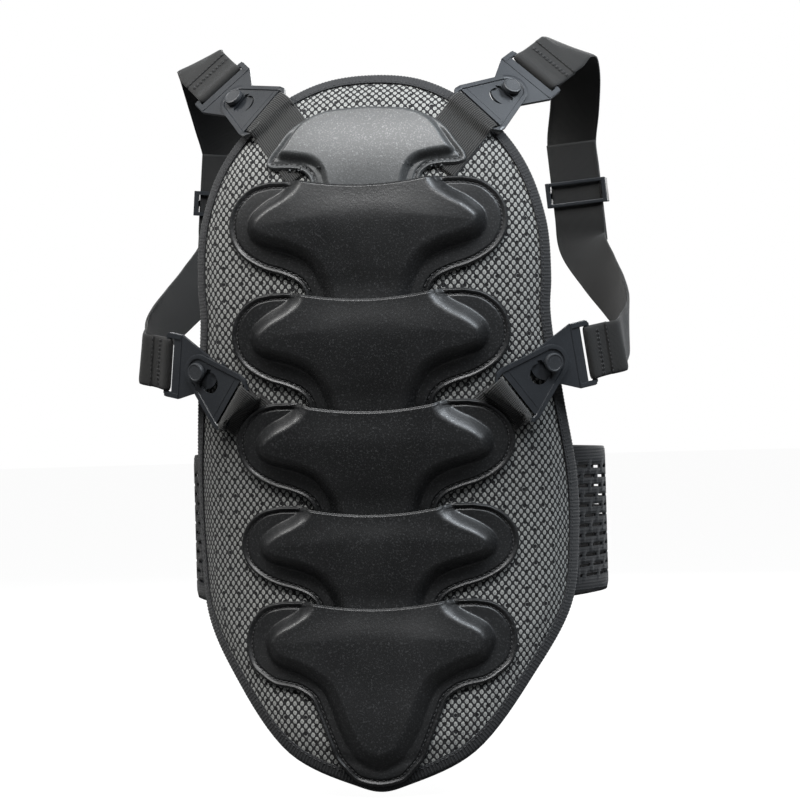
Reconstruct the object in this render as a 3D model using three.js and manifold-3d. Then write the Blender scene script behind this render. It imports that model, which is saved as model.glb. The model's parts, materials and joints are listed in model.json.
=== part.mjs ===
// Back protector: a padded mesh panel that carries a neck plate and five overlapping spine
// plates, with four keyhole buckles, two shoulder straps and a closing waist belt.
//
// Millimetres. +Z is up, the outer face looks to -Y, the wearer stands on the +Y side and
// +X is the wearer's right. The origin is the centre of the lining's flat inner face.

import * as THREE from "three";
import { mergeVertices } from "three/addons/utils/BufferGeometryUtils.js";
import Module from "manifold-3d";

const wasm = await Module();
wasm.setup();
const { lerp, smoothstep } = THREE.MathUtils;
const vec = (x, y, z) => new THREE.Vector3(x, y, z);

// ---------------------------------------------------------------- driving dimensions

// The wearer's back, which every layer of the panel follows.
const FLAT = 20; // half-size of the flat zone round the origin
const SHAPED_AT = 12; // height off the lining at which x and z are as given below
const NECK_RISE = 44; // how far the back leans forward at the panel's top
const NECK_SPAN = 134.5;
const NECK_POWER = 2.6;
const LUMBAR_HOLLOW = 9; // half-depth of the hollow of the waist
const LUMBAR_LENGTH = 400;
const SIDE_DEPTH = 115; // how far round the ribs the section turns
const SIDE_POWER = 2.4;
const BODY_HALF_WIDTH = { middle: 175, top: 152, waist: 160 };

// Right half of the panel's edge, from top centre to bottom centre: x, z.
const PANEL_EDGE = [
  [0, 162.5], [42.5, 156], [90, 127.5], [120.5, 90], [136.5, 44], [139.3, 0],
  [138, -26], [145.5, -90], [153, -150], [153, -200], [146.5, -250], [118.5, -298],
  [72, -354], [21.5, -377.5], [0, -383],
];
const EDGE_STEPS = 2; // outline points from one of those points to the next
const EDGE_THICKNESS = 5.5;
const FULL_THICKNESS = 10.8;
const THICKNESS_SLOPE = 0.25;
const SKIN = 1.5; // thickness of the cover and of the lining
const LAYER_GAP = 0.3;
const LAYER_INSET = 2; // the layers stop this far inside the binding's outer edge
const TAPE = 1; // thickness of the binding tape
const TAPE_LEG = 9.5; // how far it reaches over the panel on either face
const TAPE_ROOM = 0.9;

// Moulded plates. A row is [z from the lip, half-width].
const SHELL = 2.4;
const PLATE_GAP = 1.9; // from the cover up to a flange's underside
const WALL_RUN = 10; // width of the wall that climbs from flange to dome
const LIP_SAG = 6.5;
const LIP_HALF_WIDTH = 56;
const DOME = [
  [0, 56], [-4, 58.5], [-9, 65], [-14.5, 75], [-20, 82.5], [-26, 88], [-34, 90], [-42, 88],
  [-48, 81.5], [-52, 70], [-56, 57], [-62, 46.5], [-70, 40], [-82, 34.5], [-96, 32],
];
const FLANGE = [
  [0, 73], [-3, 86], [-10, 96], [-20, 103], [-33, 105.5], [-45, 103], [-54, 97], [-61, 88],
  [-66.5, 77], [-71, 63], [-76, 53], [-82, 48], [-96, 45],
];
const HEIGHT = [[0, 10.3], [-34, 11.5], [-64, 9.5], [-80, 6.9], [-96, 6.6]];
const PLATE_ROWS = [0, -5, -11, -20, -34, -44, -52, -59, -66, -73, -82, -96];
const DOME_TAIL = [
  [0, 56], [-4, 58.5], [-9, 65], [-14.5, 75], [-20, 82], [-30, 87], [-40, 85], [-48.6, 79],
  [-56, 60], [-66.5, 44], [-80, 37], [-95, 31.5], [-108, 25], [-117, 19], [-123, 11], [-126, 4],
  [-138.5, 1],
];
const FLANGE_TAIL = [
  [0, 73], [-3, 86], [-10, 95], [-20, 101], [-33, 103], [-44, 101], [-50, 98], [-57, 90],
  [-62.5, 81], [-67, 62], [-74, 51.6], [-84, 47], [-94, 43], [-108, 37.5], [-119, 32.6],
  [-128, 25], [-134.5, 18], [-137.5, 9], [-138.5, 3],
];
const HEIGHT_TAIL = [[0, 10.3], [-34, 11.5], [-64, 10], [-96, 9], [-112, 7], [-120, 4], [-126, 0]];
const TAIL_ROWS = [
  0, -5, -11, -20, -33, -44, -52, -58, -64, -70, -78, -90, -104, -114, -121, -126, -132, -136,
  -138.5,
];
const PLATES = [
  { lip: 75.5, stretch: 1 },
  { lip: -8, stretch: 1 },
  { lip: -90.5, stretch: 0.95 },
  { lip: -168.5, stretch: 0.9 },
  { lip: -240.5, stretch: 1, tail: true },
];
// The neck plate's rows give z itself, because it has no lip.
const DOME_NECK = [
  [130.5, 12], [128, 31], [122.5, 45], [115, 53.5], [102, 62], [93, 67.5], [90.5, 50], [88, 38],
  [84, 34], [74, 31.5], [62, 30],
];
const FLANGE_NECK = [
  [130.5, 13], [128, 32], [122.5, 47], [114, 59], [102, 68], [93, 74.5], [88, 75], [84.5, 66],
  [84, 50], [81, 44], [74, 41], [62, 40],
];
const HEIGHT_NECK = [[130.5, 0], [128, 3.5], [122.5, 6.2], [102, 6.8], [62, 6.6]];
const NECK_ROWS = [130.5, 128, 122.5, 115, 106, 97, 93, 90.5, 88, 84.5, 83, 80, 74, 62];
const PAD_ROWS = { neck: [122.5, 74], spine: [-20, -73], tail: [-20, -104] };

// Keyhole buckles. Their own axes: u from the anchor to the strap, v across, w outwards. Both
// plates and their webbing are drawn with the bar at +u; the keyhole plate's are turned round.
const KEYHOLE_PLATE = { end: 45, halfWidth: 24.5, taper: 36, nose: 12.5, low: 4.6, high: 7.2 };
const KEYHOLE_SLOT = { from: 36, to: 41.5, halfWidth: 20.75 };
const KEYHOLE = { seat: 4, wide: 8.2, wideAt: 13 };
const STUD_PLATE = { end: 36, halfWidth: 25, taper: 21, nose: 12.5, low: 1.6, high: 4.2 };
const STUD_SLOT = { from: 28.4, to: 32.5, halfWidth: 20.75 };
const STUD_HOLE = 3.8;
const STUD_PROFILE = [
  [0, 0.4], [6, 0.4], [6, 1.3], [3.5, 1.3], [3.5, 7.6], [7.2, 7.6], [7.2, 10.4], [6.2, 11.4],
  [0, 11.4],
];
const STUD_SIDES = 16;
// Stud place, plate normal and the two plates' directions on the wearer's right; the y of a
// direction follows from the normal. The left shoulder's keyhole plate lies a little flatter.
const BUCKLES = [
  {
    name: "shoulder", at: [103.8, 49, 140], normal: [0.4, -0.71, 0.58],
    keyhole: { right: [0.562, 0.425], left: [0.655, 0.329] }, strap: [0.512, 0.466],
    strapEnd: 62, tailEnd: 64, tailDrop: -2.2,
  },
  {
    name: "side", at: [131.6, 20, -64.7], normal: [0.5, -0.86, -0.09],
    keyhole: { right: [0.68, 0.65], left: [0.68, 0.65] }, strap: [0.883, 0.2],
    strapEnd: 52, tailEnd: 51.5, tailDrop: 0,
  },
];

// Straps and webbing.
const WEB_WIDTH = 40;
const WEB = 1.8; // thickness of one layer
const OVER = 3.8; // height of the upper strap over the lower one on the chest
const FOLD_ROOM = 0.4; // room between a fold of webbing and the bar inside it
const STRAP_GAP = 4.8; // room between a swivelling strap end and its strap
// Right-hand routes after the buckle: [point, outward normal]. Both end on the chest stretch.
const CHEST = { low: [147, 188, 32], high: [140, 184, 112], normal: [0.1, 0.99, 0.06] };
const SHOULDER_ROUTE = [
  [[143.5, 109, 176.5], [0.38, -0.3, 0.87]],
  [[146.5, 128, 174], [0.25, 0.15, 0.95]],
  [[147, 149, 161], [0.2, 0.65, 0.73]],
  [[144, 170, 137], [0.15, 0.9, 0.42]],
];
const UNDERARM_ROUTE = [
  [[184.5, 63, -49], [0.85, -0.5, -0.1]],
  [[187, 86, -41], [1, 0, 0]],
  [[184, 115, -29], [0.93, 0.35, 0]],
  [[174.5, 144, -13], [0.75, 0.65, 0]],
  [[161, 169, 7], [0.45, 0.88, 0.05]],
];
const SLIDER = { half: 10, rail: [21, 24.5], low: -2.4, high: 8.7, floor: -0.8, bar: 6.3 };

// Waist belt: its plan from the panel's edge round to the front, on the wearer's right.
const BELT_PLAN = [
  [118, 52], [131, 72], [141, 86], [152, 106], [161, 133], [157, 168], [138, 198], [104, 217],
  [60, 227], [18, 230],
];
const BELT = 2.5; // thickness
const BELT_ROOT = { low: -246, high: -127 };
const BELT_FRONT = { low: -235, high: -138 };
const SEAM_AT = 0.06; // where the belt leaves the panel's edge, as a part of its whole length
const SEAM_GAP = 0.0012;
const LOOP_PATCH = { from: 44, to: -26, low: 2.8, high: 3.8 };
const HOOK_PATCH = { from: 44, to: -26, low: 4.1, high: 5.1 };
const TAB = { from: 48, to: -37.5, low: 5.4 };
const RIGHT_WING_END = -30;
const LEFT_WING_END = -38.5;
const CLIMB = [0.36, 0.43]; // the stretch where the left wing rises over the right one
const PATCH_MARGIN = 12; // the patches stop this far inside the belt's long edges

// ---------------------------------------------------------------- closed solids from points

function closedMesh(triangles) {
  const near = (a, b) => a.distanceToSquared(b) < 4e-6;
  const kept = triangles.filter(([a, b, c]) => !near(a, b) && !near(b, c) && !near(c, a));
  const volume = kept.reduce((sum, [a, b, c]) => sum + a.dot(b.clone().cross(c)), 0);
  const facing = volume < 0 ? kept.map(([a, b, c]) => [a, c, b]) : kept;
  const geometry = new THREE.BufferGeometry().setFromPoints(facing.flat());
  geometry.computeVertexNormals();
  return geometry;
}

const quad = (a, b, c, d) => [[a, b, c], [a, c, d]];

// A slab between two matching grids of points, closed round its border.
function slab(top, bottom) {
  const triangles = [];
  const rows = top.length - 1;
  const columns = top[0].length - 1;
  for (let r = 0; r < rows; r++) {
    for (let c = 0; c < columns; c++) {
      triangles.push(...quad(top[r][c], top[r + 1][c], top[r + 1][c + 1], top[r][c + 1]));
      triangles.push(...quad(bottom[r][c], bottom[r][c + 1], bottom[r + 1][c + 1], bottom[r + 1][c]));
    }
    triangles.push(...quad(top[r][0], bottom[r][0], bottom[r + 1][0], top[r + 1][0]));
    triangles.push(
      ...quad(bottom[r][columns], top[r][columns], top[r + 1][columns], bottom[r + 1][columns]),
    );
  }
  for (let c = 0; c < columns; c++) {
    triangles.push(...quad(bottom[0][c], top[0][c], top[0][c + 1], bottom[0][c + 1]));
    triangles.push(...quad(top[rows][c], bottom[rows][c], bottom[rows][c + 1], top[rows][c + 1]));
  }
  return closedMesh(triangles);
}

// A solid swept through matching rings of points, closed on itself or capped at its ends.
function sweep(rings, closed) {
  const triangles = [];
  const count = rings[0].length;
  const last = closed ? rings.length : rings.length - 1;
  for (let i = 0; i < last; i++) {
    const here = rings[i];
    const next = rings[(i + 1) % rings.length];
    for (let k = 0; k < count; k++) {
      const l = (k + 1) % count;
      triangles.push(...quad(here[k], next[k], next[l], here[l]));
    }
  }
  if (!closed) {
    const first = rings[0];
    const end = rings[rings.length - 1];
    for (let k = 1; k < count - 1; k++) {
      triangles.push([first[0], first[k], first[k + 1]]);
      triangles.push([end[0], end[k + 1], end[k]]);
    }
  }
  return closedMesh(triangles);
}

function join(geometries) {
  const solids = geometries.map((geometry) => {
    const bare = geometry.clone();
    bare.deleteAttribute("normal");
    bare.deleteAttribute("uv");
    const merged = mergeVertices(bare, 1e-4);
    return new wasm.Manifold(
      new wasm.Mesh({
        numProp: 3,
        vertProperties: merged.attributes.position.array,
        triVerts: new Uint32Array(merged.index.array),
      }),
    );
  });
  const mesh = solids.reduce((whole, solid) => whole.add(solid)).getMesh();
  const geometry = new THREE.BufferGeometry();
  geometry.setAttribute("position", new THREE.BufferAttribute(mesh.vertProperties, 3));
  geometry.setIndex(new THREE.BufferAttribute(mesh.triVerts, 1));
  geometry.computeVertexNormals();
  return geometry;
}

// ---------------------------------------------------------------- the wearer's back

function spineDepth(z) {
  if (z > FLAT) return NECK_RISE * ((z - FLAT) / NECK_SPAN) ** NECK_POWER;
  if (z > -FLAT) return 0;
  return LUMBAR_HOLLOW * (1 - Math.cos((2 * Math.PI * (-z - FLAT)) / LUMBAR_LENGTH));
}

function bodyHalfWidth(z) {
  const { middle, top, waist } = BODY_HALF_WIDTH;
  return middle - (middle - top) * smoothstep(z, 0, 150) - (middle - waist) * smoothstep(-z, 0, 170);
}

function bodyDepth(x, z) {
  const part = Math.min(Math.max(0, Math.abs(x) - FLAT) / (bodyHalfWidth(z) - FLAT), 0.995);
  return spineDepth(z) + SIDE_DEPTH * (1 - (1 - part ** SIDE_POWER) ** (1 / SIDE_POWER));
}

function bodyNormal(x, z) {
  const slopeX = bodyDepth(x + 0.5, z) - bodyDepth(x - 0.5, z);
  const slopeZ = bodyDepth(x, z + 0.5) - bodyDepth(x, z - 0.5);
  return vec(slopeX, -1, slopeZ).normalize();
}

// The point at height h off the lining's inner face.
function skinPoint(x, z, h) {
  const shaped = vec(x, bodyDepth(x, z) - SHAPED_AT, z);
  return shaped.addScaledVector(bodyNormal(x, z), h - SHAPED_AT);
}

// ---------------------------------------------------------------- the panel

const half = PANEL_EDGE.map(([x, z]) => vec(x, 0, z));
const mirroredHalf = half.slice(1, -1).reverse().map((p) => vec(-p.x, 0, p.z));
const edgeCurve = new THREE.CatmullRomCurve3([...half, ...mirroredHalf], true);
const edgeCount = 2 * (PANEL_EDGE.length - 1) * EDGE_STEPS;
const edge = Array.from({ length: edgeCount }, (_, i) => edgeCurve.getPoint(i / edgeCount));
const inward = edge.map((_, i) => {
  const along = edge[(i + 1) % edgeCount].clone().sub(edge[(i + edgeCount - 1) % edgeCount]);
  return vec(along.z, 0, -along.x).normalize();
});
if (inward[0].z > 0) inward.forEach((n) => n.negate());

function edgeDistance(x, z) {
  const here = vec(x, 0, z);
  const nearest = vec(0, 0, 0);
  return Math.min(
    ...edge.map((p, i) => {
      const side = new THREE.Line3(p, edge[(i + 1) % edgeCount]);
      return side.closestPointToPoint(here, true, nearest).distanceTo(here);
    }),
  );
}

const thicknessAt = (d) => Math.min(FULL_THICKNESS, EDGE_THICKNESS + THICKNESS_SLOPE * d);

// One layer: rows join the outline's left and right points, and the columns step inwards.
function panelLayer(heights) {
  const shrunk = edge.map((p, i) => p.clone().addScaledVector(inward[i], LAYER_INSET));
  const rows = [];
  for (let i = 0; i <= edgeCount / 2; i++) {
    const { x: w, z } = shrunk[i];
    const stops = [w, w - Math.min(12, 0.22 * w), w - Math.min(24, 0.45 * w)];
    const flat = Math.min(FLAT, 0.3 * w);
    const right = [...stops, (stops[2] + flat) / 2, flat];
    const xs = [...right.map((x) => -x), ...right.reverse()];
    rows.push(xs.map((x) => ({ x, z, t: thicknessAt(edgeDistance(x, z)) })));
  }
  const grid = (k) => rows.map((row) => row.map(({ x, z, t }) => skinPoint(x, z, heights(t)[k])));
  return slab(grid(1), grid(0));
}

// The binding: a folded tape whose section is [distance inside the edge, height].
function edgeBinding() {
  const leg = TAPE_LEG;
  const under = -TAPE_ROOM;
  const over = (d) => thicknessAt(d) + TAPE_ROOM;
  const section = [
    [leg, over(leg)], [leg, over(leg) + TAPE], [1.5, over(1.5) + TAPE], [0, over(0) - 0.3],
    [0, under + 0.3], [1.5, under - TAPE], [leg, under - TAPE], [leg, under], [1.5, under],
    [1.5, over(1.5)],
  ];
  const rings = edge.map((p, i) =>
    section.map(([d, h]) => {
      const at = p.clone().addScaledVector(inward[i], d);
      return skinPoint(at.x, at.z, h);
    }),
  );
  return sweep(rings, true);
}

// ---------------------------------------------------------------- the moulded plates

function readTable(table, z) {
  for (let i = 1; i < table.length; i++) {
    const [z0, w0] = table[i - 1];
    const [z1, w1] = table[i];
    if (z >= z1) return lerp(w0, w1, Math.min(1, Math.max(0, (z0 - z) / (z0 - z1))));
  }
  return table[table.length - 1][1];
}

// Height of the surface that a plate's flange lies on: the cover, or the binding near the edge.
function seatHeight(x, z) {
  const d = edgeDistance(x, z);
  return thicknessAt(d) + 2 * (1 - smoothstep(d, 10.5, 18)) + PLATE_GAP;
}

const SPINE_FORM = { dome: DOME, flange: FLANGE, height: HEIGHT, rows: PLATE_ROWS, lip: true };
const TAIL_FORM = {
  dome: DOME_TAIL, flange: FLANGE_TAIL, height: HEIGHT_TAIL, rows: TAIL_ROWS, lip: true,
};
const NECK_FORM = { dome: DOME_NECK, flange: FLANGE_NECK, height: HEIGHT_NECK, rows: NECK_ROWS };

// World z of a plate's own z at x: the lip sags at its centre, and the sag fades downwards.
function plateZ(form, z, x, lipAt, stretch) {
  if (!form.lip) return z;
  const sag = LIP_SAG * Math.max(0, 1 - (x / LIP_HALF_WIDTH) ** 2) * smoothstep(z, -34, 0);
  return lipAt + z * stretch - sag;
}

function plateShell(form, lipAt, stretch) {
  const top = [];
  const bottom = [];
  for (const z of form.rows) {
    const flange = readTable(form.flange, z);
    const dome = Math.min(readTable(form.dome, z), flange - 1);
    const shoulder = dome - Math.min(WALL_RUN, 0.5 * dome);
    const rise = readTable(form.height, z);
    const right = [[flange, 0], [dome, 0], [shoulder, 0.97], [shoulder / 2, 1], [0, 1]];
    const left = right.slice(0, -1).map(([x, k]) => [-x, k]);
    const row = [...left, ...right.reverse()].map(([x, k]) => {
      const worldZ = plateZ(form, z, x, lipAt, stretch);
      return { x, worldZ, h: seatHeight(x, worldZ) + k * rise };
    });
    top.push(row.map(({ x, worldZ, h }) => skinPoint(x, worldZ, h + SHELL)));
    bottom.push(row.map(({ x, worldZ, h }) => skinPoint(x, worldZ, h)));
  }
  return slab(top, bottom);
}

// The impact pad that fills a plate's dome.
function platePad(form, [from, to], lipAt, stretch) {
  const top = [];
  const bottom = [];
  for (const z of form.rows.filter((row) => row <= from && row >= to)) {
    const reach = readTable(form.dome, z) - WALL_RUN - 2;
    const rise = 0.97 * readTable(form.height, z) - 1.4;
    const row = [-1, -0.5, 0, 0.5, 1].map((k) => {
      const x = k * reach;
      const worldZ = plateZ(form, z, x, lipAt, stretch);
      return { x, worldZ, h: seatHeight(x, worldZ) };
    });
    top.push(row.map(({ x, worldZ, h }) => skinPoint(x, worldZ, h + rise)));
    bottom.push(row.map(({ x, worldZ, h }) => skinPoint(x, worldZ, h)));
  }
  return slab(top, bottom);
}

// ---------------------------------------------------------------- buckles

// A plate with a straight end, tapering sides and a round nose about the stud.
function plateShape({ end, halfWidth, taper, nose }, slot) {
  const lean = Math.atan2(halfWidth, taper) + Math.acos(nose / Math.hypot(halfWidth, taper));
  const shape = new THREE.Shape();
  shape.moveTo(end, -halfWidth + 1.5);
  shape.lineTo(end, halfWidth - 1.5);
  shape.lineTo(taper, halfWidth);
  shape.absarc(0, 0, nose, lean, -lean);
  shape.lineTo(taper, -halfWidth);
  shape.closePath();
  shape.holes.push(
    new THREE.Path([
      new THREE.Vector2(slot.from, -slot.halfWidth),
      new THREE.Vector2(slot.from, slot.halfWidth),
      new THREE.Vector2(slot.to, slot.halfWidth),
      new THREE.Vector2(slot.to, -slot.halfWidth),
    ]),
  );
  return shape;
}

function extrudeBetween(shape, low, high, curveSegments) {
  const options = { depth: high - low, bevelEnabled: false, curveSegments };
  return new THREE.ExtrudeGeometry(shape, options).translate(0, 0, low);
}

function keyholePlate() {
  const shape = plateShape(KEYHOLE_PLATE, KEYHOLE_SLOT);
  const { seat, wide, wideAt } = KEYHOLE;
  const meet = Math.asin(seat / wide);
  const hole = new THREE.Path();
  hole.absarc(0, 0, seat, Math.PI / 2, -Math.PI / 2);
  hole.absarc(wideAt, 0, wide, meet - Math.PI, Math.PI - meet);
  hole.closePath();
  shape.holes.push(hole);
  return extrudeBetween(shape, KEYHOLE_PLATE.low, KEYHOLE_PLATE.high, 10).rotateZ(Math.PI);
}

function studPlate() {
  const shape = plateShape(STUD_PLATE, STUD_SLOT);
  shape.holes.push(new THREE.Path().absarc(0, 0, STUD_HOLE, 0, 2 * Math.PI));
  return extrudeBetween(shape, STUD_PLATE.low, STUD_PLATE.high, 10);
}

function stud() {
  const profile = STUD_PROFILE.map(([r, w]) => new THREE.Vector2(r, w));
  return new THREE.LatheGeometry(profile, STUD_SIDES).rotateX(Math.PI / 2);
}

// Webbing folded round a plate's bar, from its section [u, w] and the hole that holds the bar.
function foldedWebbing(section, hole) {
  const toPoint = ([u, w]) => new THREE.Vector2(u, w);
  const shape = new THREE.Shape(section.map(toPoint));
  shape.holes.push(new THREE.Path(hole.map(toPoint)));
  const width = WEB_WIDTH - 0.2;
  const geometry = new THREE.ExtrudeGeometry(shape, { depth: width, bevelEnabled: false });
  return geometry.translate(0, 0, -width / 2).rotateX(Math.PI / 2);
}

// The fold round a bar: its inner and outer heights, where it starts and the hole for the bar.
function fold({ end, low, high }, slot) {
  const from = slot.to - FOLD_ROOM;
  const to = end + FOLD_ROOM;
  const [floor, roof] = [low - FOLD_ROOM, high + FOLD_ROOM];
  return {
    inner: floor - WEB,
    outer: roof + WEB,
    inside: from - WEB,
    hole: [[from, floor], [from, roof], [to, roof], [to, floor]],
  };
}

function anchorWebbing({ tailEnd, tailDrop }) {
  const { end } = KEYHOLE_PLATE;
  const { inner, outer, inside, hole } = fold(KEYHOLE_PLATE, KEYHOLE_SLOT);
  const section = [
    [inside, inner + 0.7], [inside + 0.7, inner], [end + 1.5, inner], [end + 5, 0.4],
    [tailEnd, 0.4 + tailDrop], [tailEnd, 3.2 + tailDrop], [end + 6.5, 3.4], [end + 2.2, outer - 1],
    [end + 0.8, outer], [inside + 0.7, outer], [inside, outer - 0.7],
  ];
  return foldedWebbing(section, hole).rotateZ(Math.PI);
}

function strapEnd({ strapEnd: reach }) {
  const { end } = STUD_PLATE;
  const { inner, outer, inside, hole } = fold(STUD_PLATE, STUD_SLOT);
  const section = [
    [inside, inner + 0.7], [inside + 0.7, inner], [end + 2, inner], [end + 8, 1], [reach, 1],
    [reach, 1 + 2 * WEB], [end + 8, 1 + 2 * WEB], [end + 2, outer], [inside + 0.7, outer],
    [inside, outer - 0.7],
  ];
  return foldedWebbing(section, hole);
}

// A direction in a buckle's plane, from its x and z.
function inPlane([dx, dz], normal) {
  const dy = -(normal.x * dx + normal.z * dz) / normal.y;
  return vec(dx, dy, dz).normalize();
}

function buckleFrames(buckle, side) {
  const sign = side === "right" ? 1 : -1;
  const at = vec(...buckle.at);
  at.x *= sign;
  const normal = vec(...buckle.normal).normalize();
  normal.x *= sign;
  const frame = ([dx, dz]) => {
    const along = inPlane([sign * dx, dz], normal);
    const across = normal.clone().cross(along);
    return new THREE.Matrix4().makeBasis(along, across, normal).setPosition(at);
  };
  return { at, normal, keyhole: frame(buckle.keyhole[side]), strap: frame(buckle.strap) };
}

// ---------------------------------------------------------------- straps and belt

// A flat ribbon along stations of { at, out }, from height low to height high off its route.
function ribbon(stations, low, high, steps) {
  const route = new THREE.CatmullRomCurve3(stations.map((s) => s.at));
  const outs = new THREE.CatmullRomCurve3(stations.map((s) => s.out));
  const rings = [];
  for (let i = 0; i <= steps; i++) {
    const t = i / steps;
    const at = route.getPoint(t);
    const along = route.getTangent(t);
    const out = outs.getPoint(t).addScaledVector(along, -outs.getPoint(t).dot(along)).normalize();
    const across = along.clone().cross(out).multiplyScalar(WEB_WIDTH / 2);
    const corner = (k, h) => at.clone().addScaledVector(across, k).addScaledVector(out, h);
    rings.push([corner(-1, low), corner(1, low), corner(1, high), corner(-1, high)]);
  }
  return sweep(rings, false);
}

function strapStations(buckle, side, route, lift, chestEnds) {
  const sign = side === "right" ? 1 : -1;
  const frames = buckleFrames(buckle, side);
  const start = vec(buckle.strapEnd + STRAP_GAP, 0, 1.9 - lift).applyMatrix4(frames.strap);
  const mirrored = ([x, y, z]) => vec(sign * x, y, z);
  const free = route.map(([at, out]) => ({ at: mirrored(at), out: mirrored(out).normalize() }));
  const out = mirrored(CHEST.normal).normalize();
  const [from, to] = chestEnds.map(mirrored);
  const chest = [0, 0.25, 0.5, 0.75, 1].map((k) => ({ at: from.clone().lerp(to, k), out }));
  return [{ at: start, out: frames.normal }, ...free, ...chest];
}

function strapSlider() {
  const { half: reach, rail, low, high, floor, bar } = SLIDER;
  const box = (u0, u1, v0, v1, w0, w1) =>
    new THREE.BoxGeometry(u1 - u0, v1 - v0, w1 - w0).translate(
      (u0 + u1) / 2, (v0 + v1) / 2, (w0 + w1) / 2,
    );
  return join([
    box(-reach, reach, rail[0], rail[1], low, high),
    box(-reach, reach, -rail[1], -rail[0], low, high),
    box(-2.5, 2.5, -rail[1], rail[1], bar, high),
    box(-reach, -reach + 3, -rail[1], rail[1], low, floor),
    box(reach - 3, reach, -rail[1], rail[1], low, floor),
  ]);
}

// The belt's plan curve, from the right-hand root round the front to the left-hand root.
const beltRight = BELT_PLAN.map(([x, y]) => vec(x, y, 0));
const beltLeft = beltRight.map((p) => vec(-p.x, p.y, 0)).reverse();
const beltCurve = new THREE.CatmullRomCurve3([...beltRight, ...beltLeft]);

// Where along the belt, from 0 to 1, its front stretch reaches x.
function beltAt(x) {
  let [low, high] = [0.35, 0.65];
  for (let i = 0; i < 30; i++) {
    const middle = (low + high) / 2;
    if (beltCurve.getPointAt(middle).x > x) low = middle;
    else high = middle;
  }
  return low;
}

// A stretch of belt between two places along it. lift(t) is the height of its inner face.
function beltStretch(from, to, lift, thickness, margin, steps) {
  const rings = [];
  for (let i = 0; i <= steps; i++) {
    const t = lerp(from, to, i / steps);
    const front = Math.min(1, 2 * Math.min(t, 1 - t));
    const zs = [
      lerp(BELT_ROOT.low, BELT_FRONT.low, front) + margin,
      lerp(BELT_ROOT.high, BELT_FRONT.high, front) - margin,
    ];
    const along = beltCurve.getTangentAt(t);
    const out = vec(along.y, -along.x, 0);
    const at = beltCurve.getPointAt(t);
    const corner = (h, z) => at.clone().addScaledVector(out, h).setZ(z);
    const inner = lift(t);
    const outer = inner + thickness;
    rings.push([
      corner(inner, zs[0]), corner(outer, zs[0]), corner(outer, zs[1]), corner(inner, zs[1]),
    ]);
  }
  return sweep(rings, false);
}

// ---------------------------------------------------------------- materials

const finish = (color, roughness) => () => new THREE.MeshStandardMaterial({ color, roughness });
const MESH_FABRIC = finish(0xb4b6b4, 0.95);
const LINING = finish(0x1a1b1d, 0.95);
const FOAM = finish(0x3c3e42, 0.9);
const BINDING = finish(0x121316, 0.85);
const MOULDED = finish(0x1b1c1e, 0.5);
const MOULDED_GREY = finish(0x3a3c3d, 0.5);
const BUCKLE_PLASTIC = finish(0x17181b, 0.35);
const WEBBING = finish(0x1c1c1b, 0.9);
const BELT_CLOTH = finish(0x18191b, 0.9);
const HOOK_AND_LOOP = finish(0x0e0f10, 1);

// ---------------------------------------------------------------- assembly

const group = new THREE.Group();

function add(name, geometry, material, matrix) {
  const mesh = new THREE.Mesh(geometry, material());
  mesh.name = name;
  if (matrix) mesh.applyMatrix4(matrix);
  group.add(mesh);
}

// Panel, from the wearer outwards.
add("back_lining", panelLayer(() => [0, SKIN]), LINING);
add("foam_core", panelLayer((t) => [SKIN + LAYER_GAP, t - SKIN - LAYER_GAP]), FOAM);
add("mesh_cover", panelLayer((t) => [t - SKIN, t]), MESH_FABRIC);
add("edge_binding", edgeBinding(), BINDING);

// Plates, from the neck down. Each lip lies over the plate above it.
add("neck_plate", plateShell(NECK_FORM), MOULDED_GREY);
add("neck_plate_foam", platePad(NECK_FORM, PAD_ROWS.neck), FOAM);
PLATES.forEach(({ lip, stretch, tail }, i) => {
  const form = tail ? TAIL_FORM : SPINE_FORM;
  const padRows = tail ? PAD_ROWS.tail : PAD_ROWS.spine;
  add("spine_plate_" + (i + 1), plateShell(form, lip, stretch), MOULDED);
  add("spine_plate_foam_" + (i + 1), platePad(form, padRows, lip, stretch), FOAM);
});

// Four buckles: the keyhole plate hangs on the panel's webbing, the stud plate on the strap.
for (const side of ["left", "right"]) {
  for (const buckle of BUCKLES) {
    const place = buckle.name + "_" + side;
    const frames = buckleFrames(buckle, side);
    add("keyhole_plate_" + place, keyholePlate(), BUCKLE_PLASTIC, frames.keyhole);
    add("anchor_webbing_" + place, anchorWebbing(buckle), WEBBING, frames.keyhole);
    add("stud_plate_" + place, studPlate(), BUCKLE_PLASTIC, frames.strap);
    add("stud_" + place, stud(), BUCKLE_PLASTIC, frames.strap);
    add("strap_end_" + place, strapEnd(buckle), WEBBING, frames.strap);
  }
}

// Shoulder straps: the upper half lies outside the lower half where they meet on the chest.
const sliderRise = vec(...CHEST.high).sub(vec(...CHEST.low));
for (const side of ["left", "right"]) {
  const sign = side === "right" ? 1 : -1;
  const [shoulder, flank] = BUCKLES;
  const down = [CHEST.high, CHEST.low];
  const up = [CHEST.low, CHEST.high];
  const upper = strapStations(shoulder, side, SHOULDER_ROUTE, OVER, down);
  const lower = strapStations(flank, side, UNDERARM_ROUTE, 0, up);
  add("shoulder_strap_upper_" + side, ribbon(upper, OVER, OVER + WEB, 28), WEBBING);
  add("shoulder_strap_lower_" + side, ribbon(lower, 0, WEB, 32), WEBBING);
  const along = vec(sign * sliderRise.x, sliderRise.y, sliderRise.z).normalize();
  const out = vec(sign * CHEST.normal[0], CHEST.normal[1], CHEST.normal[2]);
  out.addScaledVector(along, -out.dot(along)).normalize();
  const middle = vec(...CHEST.low).lerp(vec(...CHEST.high), 0.5);
  middle.x *= sign;
  const frame = new THREE.Matrix4().makeBasis(along, out.clone().cross(along), out);
  add("strap_slider_" + side, strapSlider(), BUCKLE_PLASTIC, frame.setPosition(middle));
}

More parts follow.
